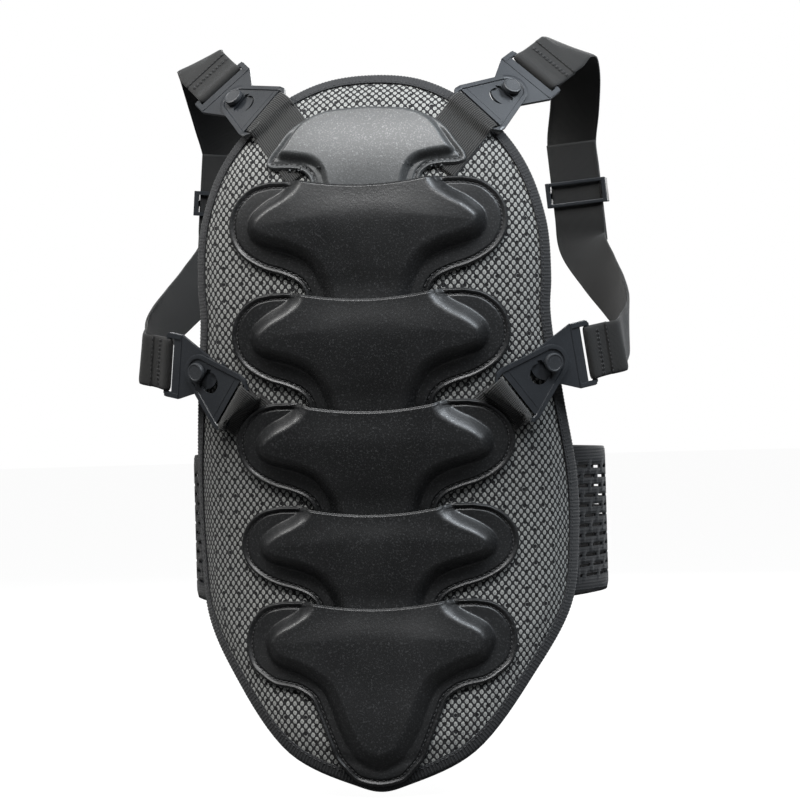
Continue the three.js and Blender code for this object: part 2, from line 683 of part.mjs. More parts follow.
// Waist belt: two roots sewn behind the panel, a wing each side and the closing tab in front.
const flush = () => 0;
const climb = (t) => TAB.low * smoothstep(1 - t, ...CLIMB);
add("belt_root_right", beltStretch(0, SEAM_AT - SEAM_GAP, flush, BELT, 0, 2), BELT_CLOTH);
add("belt_root_left", beltStretch(1, 1 - SEAM_AT + SEAM_GAP, flush, BELT, 0, 2), BELT_CLOTH);
add("belt_wing_right", beltStretch(SEAM_AT, beltAt(RIGHT_WING_END), flush, BELT, 0, 26), BELT_CLOTH);
add("belt_wing_left", beltStretch(1 - SEAM_AT, beltAt(LEFT_WING_END), climb, BELT, 0, 26), BELT_CLOTH);
for (const [name, patch] of [["loop_patch", LOOP_PATCH], ["hook_patch", HOOK_PATCH]]) {
  const [from, to] = [beltAt(patch.from), beltAt(patch.to)];
  const lift = () => patch.low;
  const thickness = patch.high - patch.low;
  add(name, beltStretch(from, to, lift, thickness, PATCH_MARGIN, 6), HOOK_AND_LOOP);
}
const tabLift = () => TAB.low;
add("belt_tab", beltStretch(beltAt(TAB.from), beltAt(TAB.to), tabLift, BELT, 0, 6), BELT_CLOTH);

export default group;
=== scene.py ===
# %% [markdown]
# # A back protector, piece by piece
# The model of the design is already there: a frame of plain solids that hold every size, place
# and joint. This lesson puts the looks round it. Each piece is made in millimetres, because that
# is how a maker measures cloth and plastic, and is scaled to metres when its mesh is written.
# The box of the plain model is kept first; the floor is set under it.

# %% Load the frame
import json
import math

import bmesh
import bpy
import numpy as np
from mathutils import Matrix, Vector


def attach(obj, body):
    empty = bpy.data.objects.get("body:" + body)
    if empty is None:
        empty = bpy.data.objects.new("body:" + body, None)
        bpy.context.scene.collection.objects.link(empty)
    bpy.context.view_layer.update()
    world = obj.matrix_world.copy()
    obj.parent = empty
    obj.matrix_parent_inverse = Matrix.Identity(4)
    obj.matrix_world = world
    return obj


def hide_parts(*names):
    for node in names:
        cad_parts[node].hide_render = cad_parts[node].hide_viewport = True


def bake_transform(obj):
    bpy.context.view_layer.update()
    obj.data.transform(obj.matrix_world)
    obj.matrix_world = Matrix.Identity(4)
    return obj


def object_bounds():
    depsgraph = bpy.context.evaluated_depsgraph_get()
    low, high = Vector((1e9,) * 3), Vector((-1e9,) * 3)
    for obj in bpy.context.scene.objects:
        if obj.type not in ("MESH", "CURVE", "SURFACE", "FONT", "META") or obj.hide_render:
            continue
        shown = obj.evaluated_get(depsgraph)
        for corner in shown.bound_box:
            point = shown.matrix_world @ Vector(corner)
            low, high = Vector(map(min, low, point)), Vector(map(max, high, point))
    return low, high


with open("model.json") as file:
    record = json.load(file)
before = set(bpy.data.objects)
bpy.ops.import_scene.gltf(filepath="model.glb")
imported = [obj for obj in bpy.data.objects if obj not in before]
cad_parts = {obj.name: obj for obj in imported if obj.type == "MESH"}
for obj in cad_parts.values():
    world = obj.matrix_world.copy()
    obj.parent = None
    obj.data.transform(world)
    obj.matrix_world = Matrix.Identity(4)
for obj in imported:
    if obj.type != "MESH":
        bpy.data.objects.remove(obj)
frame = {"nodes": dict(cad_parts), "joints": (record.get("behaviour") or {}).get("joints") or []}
cad_low, cad_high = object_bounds()
joints = {joint["name"]: joint for joint in frame["joints"]}
MM = 0.001

# %% [markdown]
# ## Camera
# A long lens from 2.4 m away keeps the panel's sides nearly parallel, as a catalogue picture
# does. The camera stands a few degrees to the wearer's right, level with the waist, and is
# rolled a little because the wearer leans.

# %% Camera
CAMERA_DISTANCE = 2.4
CAMERA_AZIMUTH = math.radians(7.5)
CAMERA_ROLL = math.radians(-1.5)
AIM_RIGHT = 0.0208
AIM_HEIGHT = -0.0905


def make_camera():
    data = bpy.data.cameras.new("camera")
    data.lens = 144
    data.sensor_width = 36
    data.clip_start = 0.1
    camera = bpy.data.objects.new("camera", data)
    bpy.context.scene.collection.objects.link(camera)
    away = Vector((math.sin(CAMERA_AZIMUTH), -math.cos(CAMERA_AZIMUTH), 0))
    right = Vector((math.cos(CAMERA_AZIMUTH), math.sin(CAMERA_AZIMUTH), 0))
    aim = right * AIM_RIGHT + Vector((0, 0, AIM_HEIGHT))
    camera.location = aim + away * CAMERA_DISTANCE
    turn = (-away).to_track_quat("-Z", "Y").to_matrix() @ Matrix.Rotation(CAMERA_ROLL, 3, "Z")
    camera.rotation_euler = turn.to_euler()
    bpy.context.scene.camera = camera
    return camera


camera = make_camera()
print("camera at", [round(c, 3) for c in camera.location])

# %% [markdown]
# ## Floor and light
# Black plastic shows its shape only by what it reflects, so the lamps are wide: one large panel
# above and in front, a warm-white one high on the left and a cooler one high on the right, which
# catch the upper shoulders of the moulded plates. A wide one behind shows the lining and
# the straps' inner sides. The floor is a plain pale disc. Backdrop and floor are nearly white to
# the camera but throw little light on the object, or its blacks turn grey.


# %% Floor, sky and lamps
SKY_GLOW = 0.1
FLOOR_TONE, FLOOR_LIGHT = 0.08, 0.96


def camera_rays(tree):
    """A value that is 1 for what the camera sees directly and 0 for light on the object."""
    return tree.nodes.new("ShaderNodeLightPath").outputs["Is Camera Ray"]


def make_floor():
    bm = bmesh.new()
    bmesh.ops.create_circle(bm, cap_ends=True, segments=64, radius=14)
    bmesh.ops.translate(bm, verts=bm.verts, vec=(0, 0, cad_low.z - 0.004))
    mesh = bpy.data.meshes.new("floor")
    bm.to_mesh(mesh)
    bm.free()
    floor = bpy.data.objects.new("floor", mesh)
    bpy.context.scene.collection.objects.link(floor)
    material = bpy.data.materials.new("pale_floor")
    material.use_nodes = True
    tree = material.node_tree
    shader = tree.nodes["Principled BSDF"]
    shader.inputs["Base Color"].default_value = (FLOOR_TONE, FLOOR_TONE, FLOOR_TONE, 1)
    shader.inputs["Roughness"].default_value = 0.9
    shader.inputs["Specular IOR Level"].default_value = 0.0
    shader.inputs["Emission Color"].default_value = (1, 1, 1, 1)
    seen = tree.nodes.new("ShaderNodeMath")
    seen.operation = "MULTIPLY"
    tree.links.new(camera_rays(tree), seen.inputs[0])
    seen.inputs[1].default_value = FLOOR_LIGHT
    tree.links.new(seen.outputs["Value"], shader.inputs["Emission Strength"])
    mesh.materials.append(material)


def make_lamp(name, place, aim, size, power, colour):
    data = bpy.data.lights.new(name, "AREA")
    data.shape = "RECTANGLE"
    data.size, data.size_y = size
    data.energy = power
    data.color = colour
    lamp = bpy.data.objects.new(name, data)
    bpy.context.scene.collection.objects.link(lamp)
    lamp.location = place
    lamp.rotation_euler = (Vector(aim) - Vector(place)).to_track_quat("-Z", "Y").to_euler()


def make_sky():
    world = bpy.data.worlds.new("studio")
    world.use_nodes = True
    tree = world.node_tree
    backdrop = tree.nodes["Background"]
    backdrop.inputs["Color"].default_value = (1, 1, 1, 1)
    glow = tree.nodes.new("ShaderNodeBackground")
    glow.inputs["Color"].default_value = (0.95, 0.97, 1, 1)
    glow.inputs["Strength"].default_value = SKY_GLOW
    mix = tree.nodes.new("ShaderNodeMixShader")
    tree.links.new(camera_rays(tree), mix.inputs["Fac"])
    tree.links.new(glow.outputs["Background"], mix.inputs[1])
    tree.links.new(backdrop.outputs["Background"], mix.inputs[2])
    tree.links.new(mix.outputs["Shader"], tree.nodes["World Output"].inputs["Surface"])
    bpy.context.scene.world = world
    bpy.context.scene.view_settings.view_transform = "Standard"


make_floor()
make_sky()
make_lamp("top_lamp", (0, -1.05, 1.45), (0, 0, 0.1), (1.1, 0.5), 43, (1, 1, 1))
make_lamp("left_lamp", (-1.2, -0.5, 1.3), (0, 0, 0), (0.6, 0.8), 25, (1, 0.99, 0.97))
make_lamp("right_lamp", (1.2, -0.5, 1.3), (0, 0, 0), (0.6, 0.8), 36, (0.86, 0.93, 1))
make_lamp("back_lamp", (0.4, 2.4, 0.9), (0, 0, -0.1), (1.8, 1.2), 60, (1, 1, 1))
print("floor and four lamps")

# %% [markdown]
# ## The wearer's back
# Every layer of the panel follows one surface, given by a formula: flat over the spine, leaning
# forward to the neck, hollow at the waist and turning round the ribs. `skin_point` lifts a point
# off that surface by a height, so a layer is only a choice of heights. The numbers are the
# design's own, in millimetres.

# %% The surface of the back
FLAT = 20
SHAPED_AT = 12
NECK_RISE, NECK_SPAN, NECK_POWER = 44, 134.5, 2.6
LUMBAR_HOLLOW, LUMBAR_LENGTH = 9, 400
SIDE_DEPTH, SIDE_POWER = 115, 2.4
HALF_WIDTH_MIDDLE, HALF_WIDTH_TOP, HALF_WIDTH_WAIST = 175, 152, 160


def smooth(value, low, high):
    part = np.clip((np.asarray(value, float) - low) / (high - low), 0, 1)
    return part * part * (3 - 2 * part)


def spine_depth(z):
    rise = NECK_RISE * (np.maximum(z - FLAT, 0) / NECK_SPAN) ** NECK_POWER
    hollow = 1 - np.cos(2 * np.pi * np.maximum(-z - FLAT, 0) / LUMBAR_LENGTH)
    return rise + LUMBAR_HOLLOW * hollow


def body_depth(x, z):
    half_width = HALF_WIDTH_MIDDLE - (HALF_WIDTH_MIDDLE - HALF_WIDTH_TOP) * smooth(z, 0, 150)
    half_width = half_width - (HALF_WIDTH_MIDDLE - HALF_WIDTH_WAIST) * smooth(-z, 0, 170)
    part = np.clip((np.abs(x) - FLAT) / (half_width - FLAT), 0, 0.995)
    return spine_depth(z) + SIDE_DEPTH * (1 - (1 - part**SIDE_POWER) ** (1 / SIDE_POWER))


def body_normal(x, z):
    slope_x = body_depth(x + 0.5, z) - body_depth(x - 0.5, z)
    slope_z = body_depth(x, z + 0.5) - body_depth(x, z - 0.5)
    normal = np.stack([slope_x, -np.ones_like(slope_x), slope_z], axis=-1)
    return normal / np.linalg.norm(normal, axis=-1, keepdims=True)


def skin_point(x, z, height):
    x, z = np.asarray(x, float), np.asarray(z, float)
    shaped = np.stack([x, body_depth(x, z) - SHAPED_AT, z], axis=-1)
    return shaped + body_normal(x, z) * (np.asarray(height, float) - SHAPED_AT)[..., None]


print("back leans", round(float(spine_depth(150)), 1), "mm forward at the neck")

# %% [markdown]
# ## Smooth outlines from few points
# A pattern cutter marks a few points and lays a bent spline through them. `curve_through` does
# the same with a centripetal Catmull-Rom curve, which never loops between close points. It
# serves for the panel's edge, the plates' outlines and the routes of the straps.


# %% Curves and distances
def curve_through(points, steps, closed=False):
    points = np.array(points, float)
    if closed:
        ring = np.vstack([points[-1], points, points[0], points[1]])
    else:
        ring = np.vstack([2 * points[0] - points[1], points, 2 * points[-1] - points[-2]])
    pieces = []
    for a, b, c, d in zip(ring, ring[1:], ring[2:], ring[3:]):
        knots = np.cumsum([0, *(np.linalg.norm(q - p) ** 0.5 for p, q in ((a, b), (b, c), (c, d)))])
        t = np.linspace(knots[1], knots[2], steps, endpoint=False)[:, None]

        def between(p, q, i, j):
            return ((knots[j] - t) * p + (t - knots[i]) * q) / (knots[j] - knots[i])

        ab, bc, cd = between(a, b, 0, 1), between(b, c, 1, 2), between(c, d, 2, 3)
        pieces.append(between(between(ab, bc, 0, 2), between(bc, cd, 1, 3), 1, 2))
    if not closed:
        pieces.append(points[-1:])
    return np.vstack(pieces)


def distance_to(line, points):
    start, run = line[:-1], np.diff(line, axis=0)
    length = np.maximum((run**2).sum(1), 1e-12)
    nearest = np.empty(len(points))
    block = 4000
    for first in range(0, len(points), block):
        offset = points[first : first + block, None, :] - start[None]
        part = np.clip((offset * run[None]).sum(2) / length, 0, 1)
        gap = offset - part[..., None] * run[None]
        nearest[first : first + block] = np.sqrt((gap**2).sum(2).min(1))
    return nearest


def arc_length(line):
    return np.concatenate([[0], np.cumsum(np.linalg.norm(np.diff(line, axis=0), axis=1))])


def tangents(line):
    run = np.gradient(line, axis=0)
    return run / np.linalg.norm(run, axis=1, keepdims=True)


# %% [markdown]
# ## The panel's edge
# Half of the edge is marked from the top centre to the bottom centre and mirrored. The panel is
# 5.5 mm thick where it is bound and swells to 10.8 mm inside, so the thickness depends only on
# how far a point lies from the edge.

# %% The edge and the thickness
PANEL_EDGE = [
    (0, 162.5), (42.5, 156), (90, 127.5), (120.5, 90), (136.5, 44), (139.3, 0), (138, -26),
    (145.5, -90), (153, -150), (153, -200), (146.5, -250), (118.5, -298), (72, -354),
    (21.5, -377.5), (0, -383),
]
EDGE_THICKNESS, FULL_THICKNESS, THICKNESS_SLOPE = 5.5, 10.8, 0.25
mirrored = [(-x, z) for x, z in PANEL_EDGE[1:-1]][::-1]
edge_loop = curve_through(PANEL_EDGE + mirrored, 8, closed=True)
edge_line = np.vstack([edge_loop, edge_loop[:1]])


def edge_depth(x, z):
    """How far inside the panel's edge a point lies; negative outside."""
    points = np.stack([np.ravel(x), np.ravel(z)], axis=-1).astype(float)
    gap = distance_to(edge_line, points)
    start, end = edge_line[:-1], edge_line[1:]
    crossing = (start[None, :, 1] > points[:, None, 1]) != (end[None, :, 1] > points[:, None, 1])
    rise = np.where(np.abs(end[:, 1] - start[:, 1]) < 1e-9, 1e-9, end[:, 1] - start[:, 1])
    along = (points[:, None, 1] - start[None, :, 1]) / rise
    meets = start[None, :, 0] + along * (end[:, 0] - start[:, 0])
    inside = (crossing & (points[:, None, 0] < meets)).sum(1) % 2 == 1
    return np.where(inside, gap, -gap).reshape(np.shape(x))


def thickness_at(depth):
    return np.minimum(FULL_THICKNESS, EDGE_THICKNESS + THICKNESS_SLOPE * np.maximum(depth, 0))


print("edge is", round(arc_length(edge_line)[-1]), "mm round")

# %% [markdown]
# ## Helpers that make a piece
# Most sheets here start as `create_grid`, whose square is then laid on a surface. `laid_grid`
# does that and keeps the cloth's own measure in a UV map named cloth, so that a weave follows
# the cloth. `make_piece` writes the mesh, gives it its materials and ties it to the frame.


# %% Grid and piece helpers
def write_uv(bm, places):
    layer = bm.loops.layers.uv.new("cloth")
    bm.verts.index_update()
    for face in bm.faces:
        for loop in face.loops:
            loop[layer].uv = places[loop.vert.index]


def laid_grid(columns, rows, lay, drop=None):
    """lay(u, v) takes u from -1 to 1 and v from 0 to 1; it gives points and cloth places in mm."""
    bm = bmesh.new()
    bmesh.ops.create_grid(bm, x_segments=columns, y_segments=rows, size=1)
    if drop:
        centres = [(face, face.calc_center_median()) for face in bm.faces]
        gone = [face for face, c in centres if drop(c.x, (c.y + 1) / 2)]
        bmesh.ops.delete(bm, geom=gone, context="FACES")
    flat = np.array([vert.co for vert in bm.verts])
    points, cloth = lay(flat[:, 0], (flat[:, 1] + 1) / 2)
    write_uv(bm, cloth * MM)
    for vert, point in zip(bm.verts, points * MM):
        vert.co = point
    return bm


def turn_outwards(bm, outward):
    """Turns an open sheet so that its faces look the way outward(points in mm) says."""
    bm.normal_update()
    centres = np.array([face.calc_center_median() for face in bm.faces]) / MM
    normals = np.array([face.normal for face in bm.faces])
    if (normals * outward(centres)).sum() < 0:
        bmesh.ops.reverse_faces(bm, faces=bm.faces)


def off_the_back(points):
    return body_normal(points[:, 0], points[:, 2])


def make_piece(name, bm, materials, nodes=(), body=None):
    mesh = bpy.data.meshes.new(name)
    bm.to_mesh(mesh)
    bm.free()
    for material in materials:
        mesh.materials.append(material)
    mesh.shade_smooth()
    piece = bpy.data.objects.new(name, mesh)
    bpy.context.scene.collection.objects.link(piece)
    if nodes:
        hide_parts(*nodes)
    if body:
        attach(piece, body)
    print(name, len(mesh.polygons), "faces")
    return piece


def give_wall(piece, thickness):
    """Gives an open sheet its thickness, behind its outer face."""
    wall = piece.modifiers.new("wall", "SOLIDIFY")
    wall.thickness = thickness * MM
    wall.offset = -1


def keep_creases(piece, degrees=35, flat_area=1.5e-5):
    """Keeps sharp edges sharp and wide flat faces truly flat."""
    piece.data.set_sharp_from_angle(angle=math.radians(degrees))
    for face in piece.data.polygons:
        face.use_smooth = face.area < flat_area


# %% [markdown]
# ## Shared effects
# Four effects come back in many finishes, so each is a node group: `fine_grain`, the pebbled skin
# of moulded plastic; `woven_ribs`, the cords of webbing and a mask of the grooves between them,
# where the finishes paint shade; `knit_holes`, a field of round holes; and `soft_patches`, slow
# changes of tone from handling. A group only puts out masks and heights. The shader stays in
# each material.


# %% Node helpers
class Nodes:
    """Adds nodes to a tree and links them in one call."""

    def __init__(self, tree):
        self.tree = tree

    def add(self, kind, links=None, **settings):
        node = self.tree.nodes.new(kind)
        for key, value in settings.items():
            setattr(node, key, value)
        for socket, value in (links or {}).items():
            if isinstance(value, bpy.types.NodeSocket):
                self.tree.links.new(value, node.inputs[socket])
            else:
                node.inputs[socket].default_value = value
        return node

    def math(self, operation, first, second=0.0, third=0.0):
        links = {0: first, 1: second, 2: third}
        return self.add("ShaderNodeMath", links, operation=operation).outputs[0]

    def blend(self, factor, first, second):
        links = {"Factor": factor, "A": first, "B": second}
        node = self.add("ShaderNodeMix", data_type="RGBA")
        sockets = {"Factor": 0, "A": 6, "B": 7}
        for name, value in links.items():
            socket = node.inputs[sockets[name]]
            if isinstance(value, bpy.types.NodeSocket):
                self.tree.links.new(value, socket)
            else:
                socket.default_value = value
        return node.outputs[2]


def start_group(name, inputs, outputs):
    group = bpy.data.node_groups.new(name, "ShaderNodeTree")
    for label, default in inputs.items():
        socket = group.interface.new_socket(label, in_out="INPUT", socket_type="NodeSocketFloat")
        socket.default_value = default
    for label in outputs:
        group.interface.new_socket(label, in_out="OUTPUT", socket_type="NodeSocketFloat")
    nodes = Nodes(group)
    return group, nodes, nodes.add("NodeGroupInput"), nodes.add("NodeGroupOutput")


# %% Group: fine grain
def make_fine_grain():
    group, nodes, given, result = start_group("fine_grain", {"Scale": 900}, ["Height", "Speckle"])
    place = nodes.add("ShaderNodeTexCoord").outputs["Object"]
    links = {"Vector": place, "Scale": given.outputs["Scale"], "Detail": 2.0, "Roughness": 0.6}
    noise = nodes.add("ShaderNodeTexNoise", links).outputs["Fac"]
    coarse = nodes.math("MULTIPLY", given.outputs["Scale"], 0.45)
    cells = nodes.add("ShaderNodeTexVoronoi", {"Vector": place, "Scale": coarse})
    height = nodes.math("ADD", noise, nodes.math("MULTIPLY", cells.outputs["Distance"], 0.5))
    bright = nodes.math("SUBTRACT", noise, 0.54)
    speckle = nodes.math("MULTIPLY", nodes.math("MAXIMUM", bright, 0.0), 7.0)
    group.links.new(height, result.inputs["Height"])
    group.links.new(speckle, result.inputs["Speckle"])
    return group


fine_grain = make_fine_grain()


# %% Group: woven ribs
def make_woven_ribs():
    inputs = {"Rib Pitch": 0.0016, "Pick Pitch": 0.0009}
    group, nodes, given, result = start_group("woven_ribs", inputs, ["Height", "Groove Shade"])
    cloth = nodes.add("ShaderNodeUVMap", uv_map="cloth").outputs["UV"]
    split = nodes.add("ShaderNodeSeparateXYZ", {0: cloth})
    waves = []
    for axis, pitch in (("X", "Rib Pitch"), ("Y", "Pick Pitch")):
        turns = nodes.math("DIVIDE", split.outputs[axis], given.outputs[pitch])
        wave = nodes.math("COSINE", nodes.math("MULTIPLY", turns, 2 * math.pi))
        waves.append(nodes.math("MULTIPLY_ADD", wave, 0.5, 0.5))
    across = nodes.math("POWER", waves[0], 0.6)
    weave = nodes.math("MULTIPLY", across, nodes.math("MULTIPLY_ADD", waves[1], 0.45, 0.55))
    group.links.new(weave, result.inputs["Height"])
    # The second output marks the grooves between the ribs, where the finishes paint shade.
    group.links.new(nodes.math("SUBTRACT", 1.0, weave), result.inputs["Groove Shade"])
    return group


woven_ribs = make_woven_ribs()


# %% Group: knit holes
def make_knit_holes():
    inputs = {"Pitch": 0.0163, "Row": 0.0062, "Radius": 0.0011, "Softness": 0.0003}
    group, nodes, given, result = start_group("knit_holes", inputs, ["Hole"])
    cloth = nodes.add("ShaderNodeUVMap", uv_map="cloth").outputs["UV"]
    split = nodes.add("ShaderNodeSeparateXYZ", {0: cloth})
    rows = nodes.math("DIVIDE", split.outputs["Y"], given.outputs["Row"])
    row = nodes.math("ROUND", rows)
    up = nodes.math("MULTIPLY", nodes.math("SUBTRACT", rows, row), given.outputs["Row"])
    stagger = nodes.math("MULTIPLY", nodes.math("PINGPONG", row, 1.0), 0.5)
    columns = nodes.math("DIVIDE", split.outputs["X"], given.outputs["Pitch"])
    column = nodes.math("ADD", columns, stagger)
    side = nodes.math("SUBTRACT", column, nodes.math("ROUND", column))
    side = nodes.math("MULTIPLY", side, given.outputs["Pitch"])
    squares = nodes.math("ADD", nodes.math("MULTIPLY", side, side), nodes.math("MULTIPLY", up, up))
    gap = nodes.math("SUBTRACT", nodes.math("SQRT", squares), given.outputs["Radius"])
    edge = nodes.math("DIVIDE", gap, given.outputs["Softness"])
    hole = nodes.add("ShaderNodeClamp", {"Value": nodes.math("SUBTRACT", 1.0, edge)})
    group.links.new(hole.outputs[0], result.inputs["Hole"])
    return group


knit_holes = make_knit_holes()


# %% Group: soft patches
def make_soft_patches():
    group, nodes, given, result = start_group("soft_patches", {"Scale": 18}, ["Patch"])
    place = nodes.add("ShaderNodeTexCoord").outputs["Object"]
    links = {"Vector": place, "Scale": given.outputs["Scale"], "Detail": 3.0}
    noise = nodes.add("ShaderNodeTexNoise", links).outputs["Fac"]
    patch = nodes.add("ShaderNodeMapRange", {"Value": noise, "From Min": 0.35, "From Max": 0.68})
    group.links.new(patch.outputs["Result"], result.inputs["Patch"])
    return group


soft_patches = make_soft_patches()
print("node groups:", [group.name for group in bpy.data.node_groups])

# %% [markdown]
# ## Finishes
# `start_finish` makes a Principled material and places the soft patches, which shift tone and
# gloss a little everywhere. Each finish then adds its own pattern: grain on moulded plastic,
# ribs on webbing with painted shade in their grooves, holes and fuzz on cloth.


# %% The start of every finish
def start_finish(name, colour, roughness, patch=0.25, sheen=0.0, specular=0.5):
    material = bpy.data.materials.new(name)
    material.use_nodes = True
    nodes = Nodes(material.node_tree)
    shader = material.node_tree.nodes["Principled BSDF"]
    shader.inputs["Sheen Weight"].default_value = sheen
    shader.inputs["Sheen Roughness"].default_value = 0.4
    shader.inputs["Specular IOR Level"].default_value = specular
    patches = nodes.add("ShaderNodeGroup", node_tree=soft_patches)
    amount = nodes.math("MULTIPLY", patches.outputs["Patch"], patch)
    bright = tuple(min(1, c * 1.5 + 0.004) for c in colour)
    tone = nodes.blend(amount, (*colour, 1), (*bright, 1))
    rough = nodes.math("MULTIPLY_ADD", patches.outputs["Patch"], 0.07, roughness)
    return material, nodes, shader, tone, rough


def end_finish(nodes, shader, tone, rough, height, strength, depth):
    links = {"Height": height, "Strength": strength, "Distance": depth * MM}
    bump = nodes.add("ShaderNodeBump", links)
    nodes.tree.links.new(tone, shader.inputs["Base Color"])
    nodes.tree.links.new(rough, shader.inputs["Roughness"])
    nodes.tree.links.new(bump.outputs["Normal"], shader.inputs["Normal"])


# %% Moulded skins and buckle plastic
def grained_finish(name, colour, roughness, scale, depth, speckle=0.5, specular=0.5):
    material, nodes, shader, tone, rough = start_finish(
        name, colour, roughness, patch=0.45, specular=specular
    )
    grain = nodes.add("ShaderNodeGroup", {"Scale": scale}, node_tree=fine_grain)
    dots = nodes.math("MULTIPLY", grain.outputs["Speckle"], speckle)
    light = tuple(min(1, c * 4 + 0.03) for c in colour)
    tone = nodes.blend(dots, tone, (*light, 1))
    rough = nodes.math("SUBTRACT", rough, nodes.math("MULTIPLY", grain.outputs["Speckle"], 0.12))
    end_finish(nodes, shader, tone, rough, grain.outputs["Height"], 0.6, depth)
    return material


moulded_skin = grained_finish("moulded_skin", (0.006, 0.0063, 0.0067), 0.39, 800, 0.14, 0.6)
# Painted light: the neck plate's skin is made several times lighter than the other plates', for the
# top light falling on the forward-leaning neck.
neck_skin_painted_light = grained_finish("neck_skin_painted_light", (0.042, 0.044, 0.045), 0.42, 900, 0.12, 0.35)
buckle_skin = grained_finish("buckle_skin", (0.017, 0.019, 0.022), 0.34, 1400, 0.03, 0.25)
stud_skin = grained_finish("stud_skin", (0.022, 0.024, 0.027), 0.45, 1100, 0.05, 0.3)
foam_skin = grained_finish("foam_skin", (0.03, 0.031, 0.034), 0.9, 500, 0.3, 0.8, 0.2)


# %% Webbing, elastic and tape
def ribbed_finish(name, colour, rib, pick, depth, roughness=0.85, sheen=0.15):
    material, nodes, shader, tone, rough = start_finish(name, colour, roughness, sheen=sheen)
    links = {"Rib Pitch": rib * MM, "Pick Pitch": pick * MM}
    ribs = nodes.add("ShaderNodeGroup", links, node_tree=woven_ribs)
    # Painted shade: the grooves between the ribs are darkened in the colour itself.
    shade = nodes.math("MULTIPLY", ribs.outputs["Groove Shade"], 0.7)
    tone = nodes.blend(shade, tone, tuple(c * 0.25 for c in colour) + (1,))
    grain = nodes.add("ShaderNodeGroup", {"Scale": 1600.0}, node_tree=fine_grain)
    height = nodes.math("MULTIPLY_ADD", grain.outputs["Height"], 0.25, ribs.outputs["Height"])
    end_finish(nodes, shader, tone, rough, height, 0.9, depth)
    return material


anchor_webbing = ribbed_finish("anchor_webbing_weave", (0.03, 0.03, 0.029), 1.6, 1.1, 0.45)
strap_webbing = ribbed_finish("strap_webbing_weave", (0.016, 0.016, 0.0155), 0.9, 0.7, 0.2)
binding_tape = ribbed_finish("binding_tape_weave", (0.016, 0.017, 0.019), 0.9, 1.3, 0.25, 0.8, 0.15)
belt_elastic = ribbed_finish("belt_elastic_weave", (0.012, 0.0125, 0.014), 2.4, 0.9, 0.35)
thread = ribbed_finish("lock_stitch_thread", (0.02, 0.02, 0.021), 0.4, 0.4, 0.05, 0.6, 0.1)


# %% Cloths with holes and hook-and-loop
def holed_finish(name, colour, dark, holes, fuzz=0.35, depth=0.3, pins=None):
    material, nodes, shader, tone, rough = start_finish(name, colour, 0.9, sheen=0.15)
    pitch, row, radius, softness = (value * MM for value in holes)
    links = {"Pitch": pitch, "Row": row, "Radius": radius, "Softness": softness}
    field = nodes.add("ShaderNodeGroup", links, node_tree=knit_holes)
    grain = nodes.add("ShaderNodeGroup", {"Scale": 1500.0}, node_tree=fine_grain)
    shade = nodes.math("MULTIPLY", grain.outputs["Speckle"], fuzz)
    tone = nodes.blend(shade, tone, tuple(c * 0.55 for c in colour) + (1,))
    if pins:
        pitch, row, radius, softness = (value * MM for value in pins)
        links = {"Pitch": pitch, "Row": row, "Radius": radius, "Softness": softness}
        pin = nodes.add("ShaderNodeGroup", links, node_tree=knit_holes)
        shade = nodes.math("MULTIPLY", pin.outputs["Hole"], 0.5)
        tone = nodes.blend(shade, tone, tuple(c * 0.3 for c in colour) + (1,))
    tone = nodes.blend(field.outputs["Hole"], tone, (*dark, 1))
    height = nodes.math("SUBTRACT", grain.outputs["Height"], field.outputs["Hole"])
    end_finish(nodes, shader, tone, rough, height, 0.7, depth)
    return material


CELL_WIDTH, CELL_HEIGHT = 5.7, 6.7  # one diamond of the cover's net
PUNCHED = (16.3, 6.2, 1.3, 0.3)
PINS = (CELL_WIDTH, CELL_HEIGHT / 2, 0.3, 0.35)
pale_fabric = holed_finish(
    "pale_fabric", (0.26, 0.264, 0.254), (0.004, 0.004, 0.005), PUNCHED, pins=PINS
)
net_cord = holed_finish("net_cord", (0.009, 0.009, 0.01), (0.003, 0.003, 0.003), PUNCHED, fuzz=0.1)
lining_knit = holed_finish(
    "lining_knit", (0.03, 0.03, 0.034), (0.003, 0.003, 0.004), (3.2, 1.9, 0.45, 0.25), depth=0.4
)
loop_pile = holed_finish(
    "loop_pile", (0.014, 0.014, 0.015), (0.003, 0.003, 0.003), (1.1, 0.8, 0.15, 0.2), depth=0.5
)
print("finishes:", len(bpy.data.materials))

# %% [markdown]
# ## The moulded plates' shapes
# A plate is cut to a flange outline and pressed up inside a dome outline. Each outline is a row
# of half-widths down the plate, so one grid can follow it row by row. A spine plate's top edge
# is an open lip that lies over the plate above, like a roof tile; its lower tongue goes under
# the next lip. The last plate ends in a tail, and the neck plate has a T shape and no lip.

# %% Plate outlines
DOME = [
    (0, 56), (-4, 58.5), (-9, 65), (-14.5, 75), (-20, 82.5), (-26, 88), (-34, 90), (-42, 88),
    (-48, 81.5), (-52, 70), (-56, 57), (-62, 46.5), (-70, 40), (-82, 34.5), (-96, 32),
]
FLANGE = [
    (0, 73), (-3, 86), (-10, 96), (-20, 103), (-33, 105.5), (-45, 103), (-54, 97), (-61, 88),
    (-66.5, 77), (-71, 63), (-76, 53), (-82, 48), (-96, 45),
]
RISE = [(0, 10.3), (-34, 11.5), (-64, 9.5), (-80, 6.9), (-96, 6.6)]
DOME_TAIL = [
    (0, 56), (-4, 58.5), (-9, 65), (-14.5, 75), (-20, 82), (-30, 87), (-40, 85), (-48.6, 79),
    (-56, 60), (-66.5, 44), (-80, 37), (-95, 31.5), (-108, 25), (-117, 19), (-123, 11), (-126, 1),
]
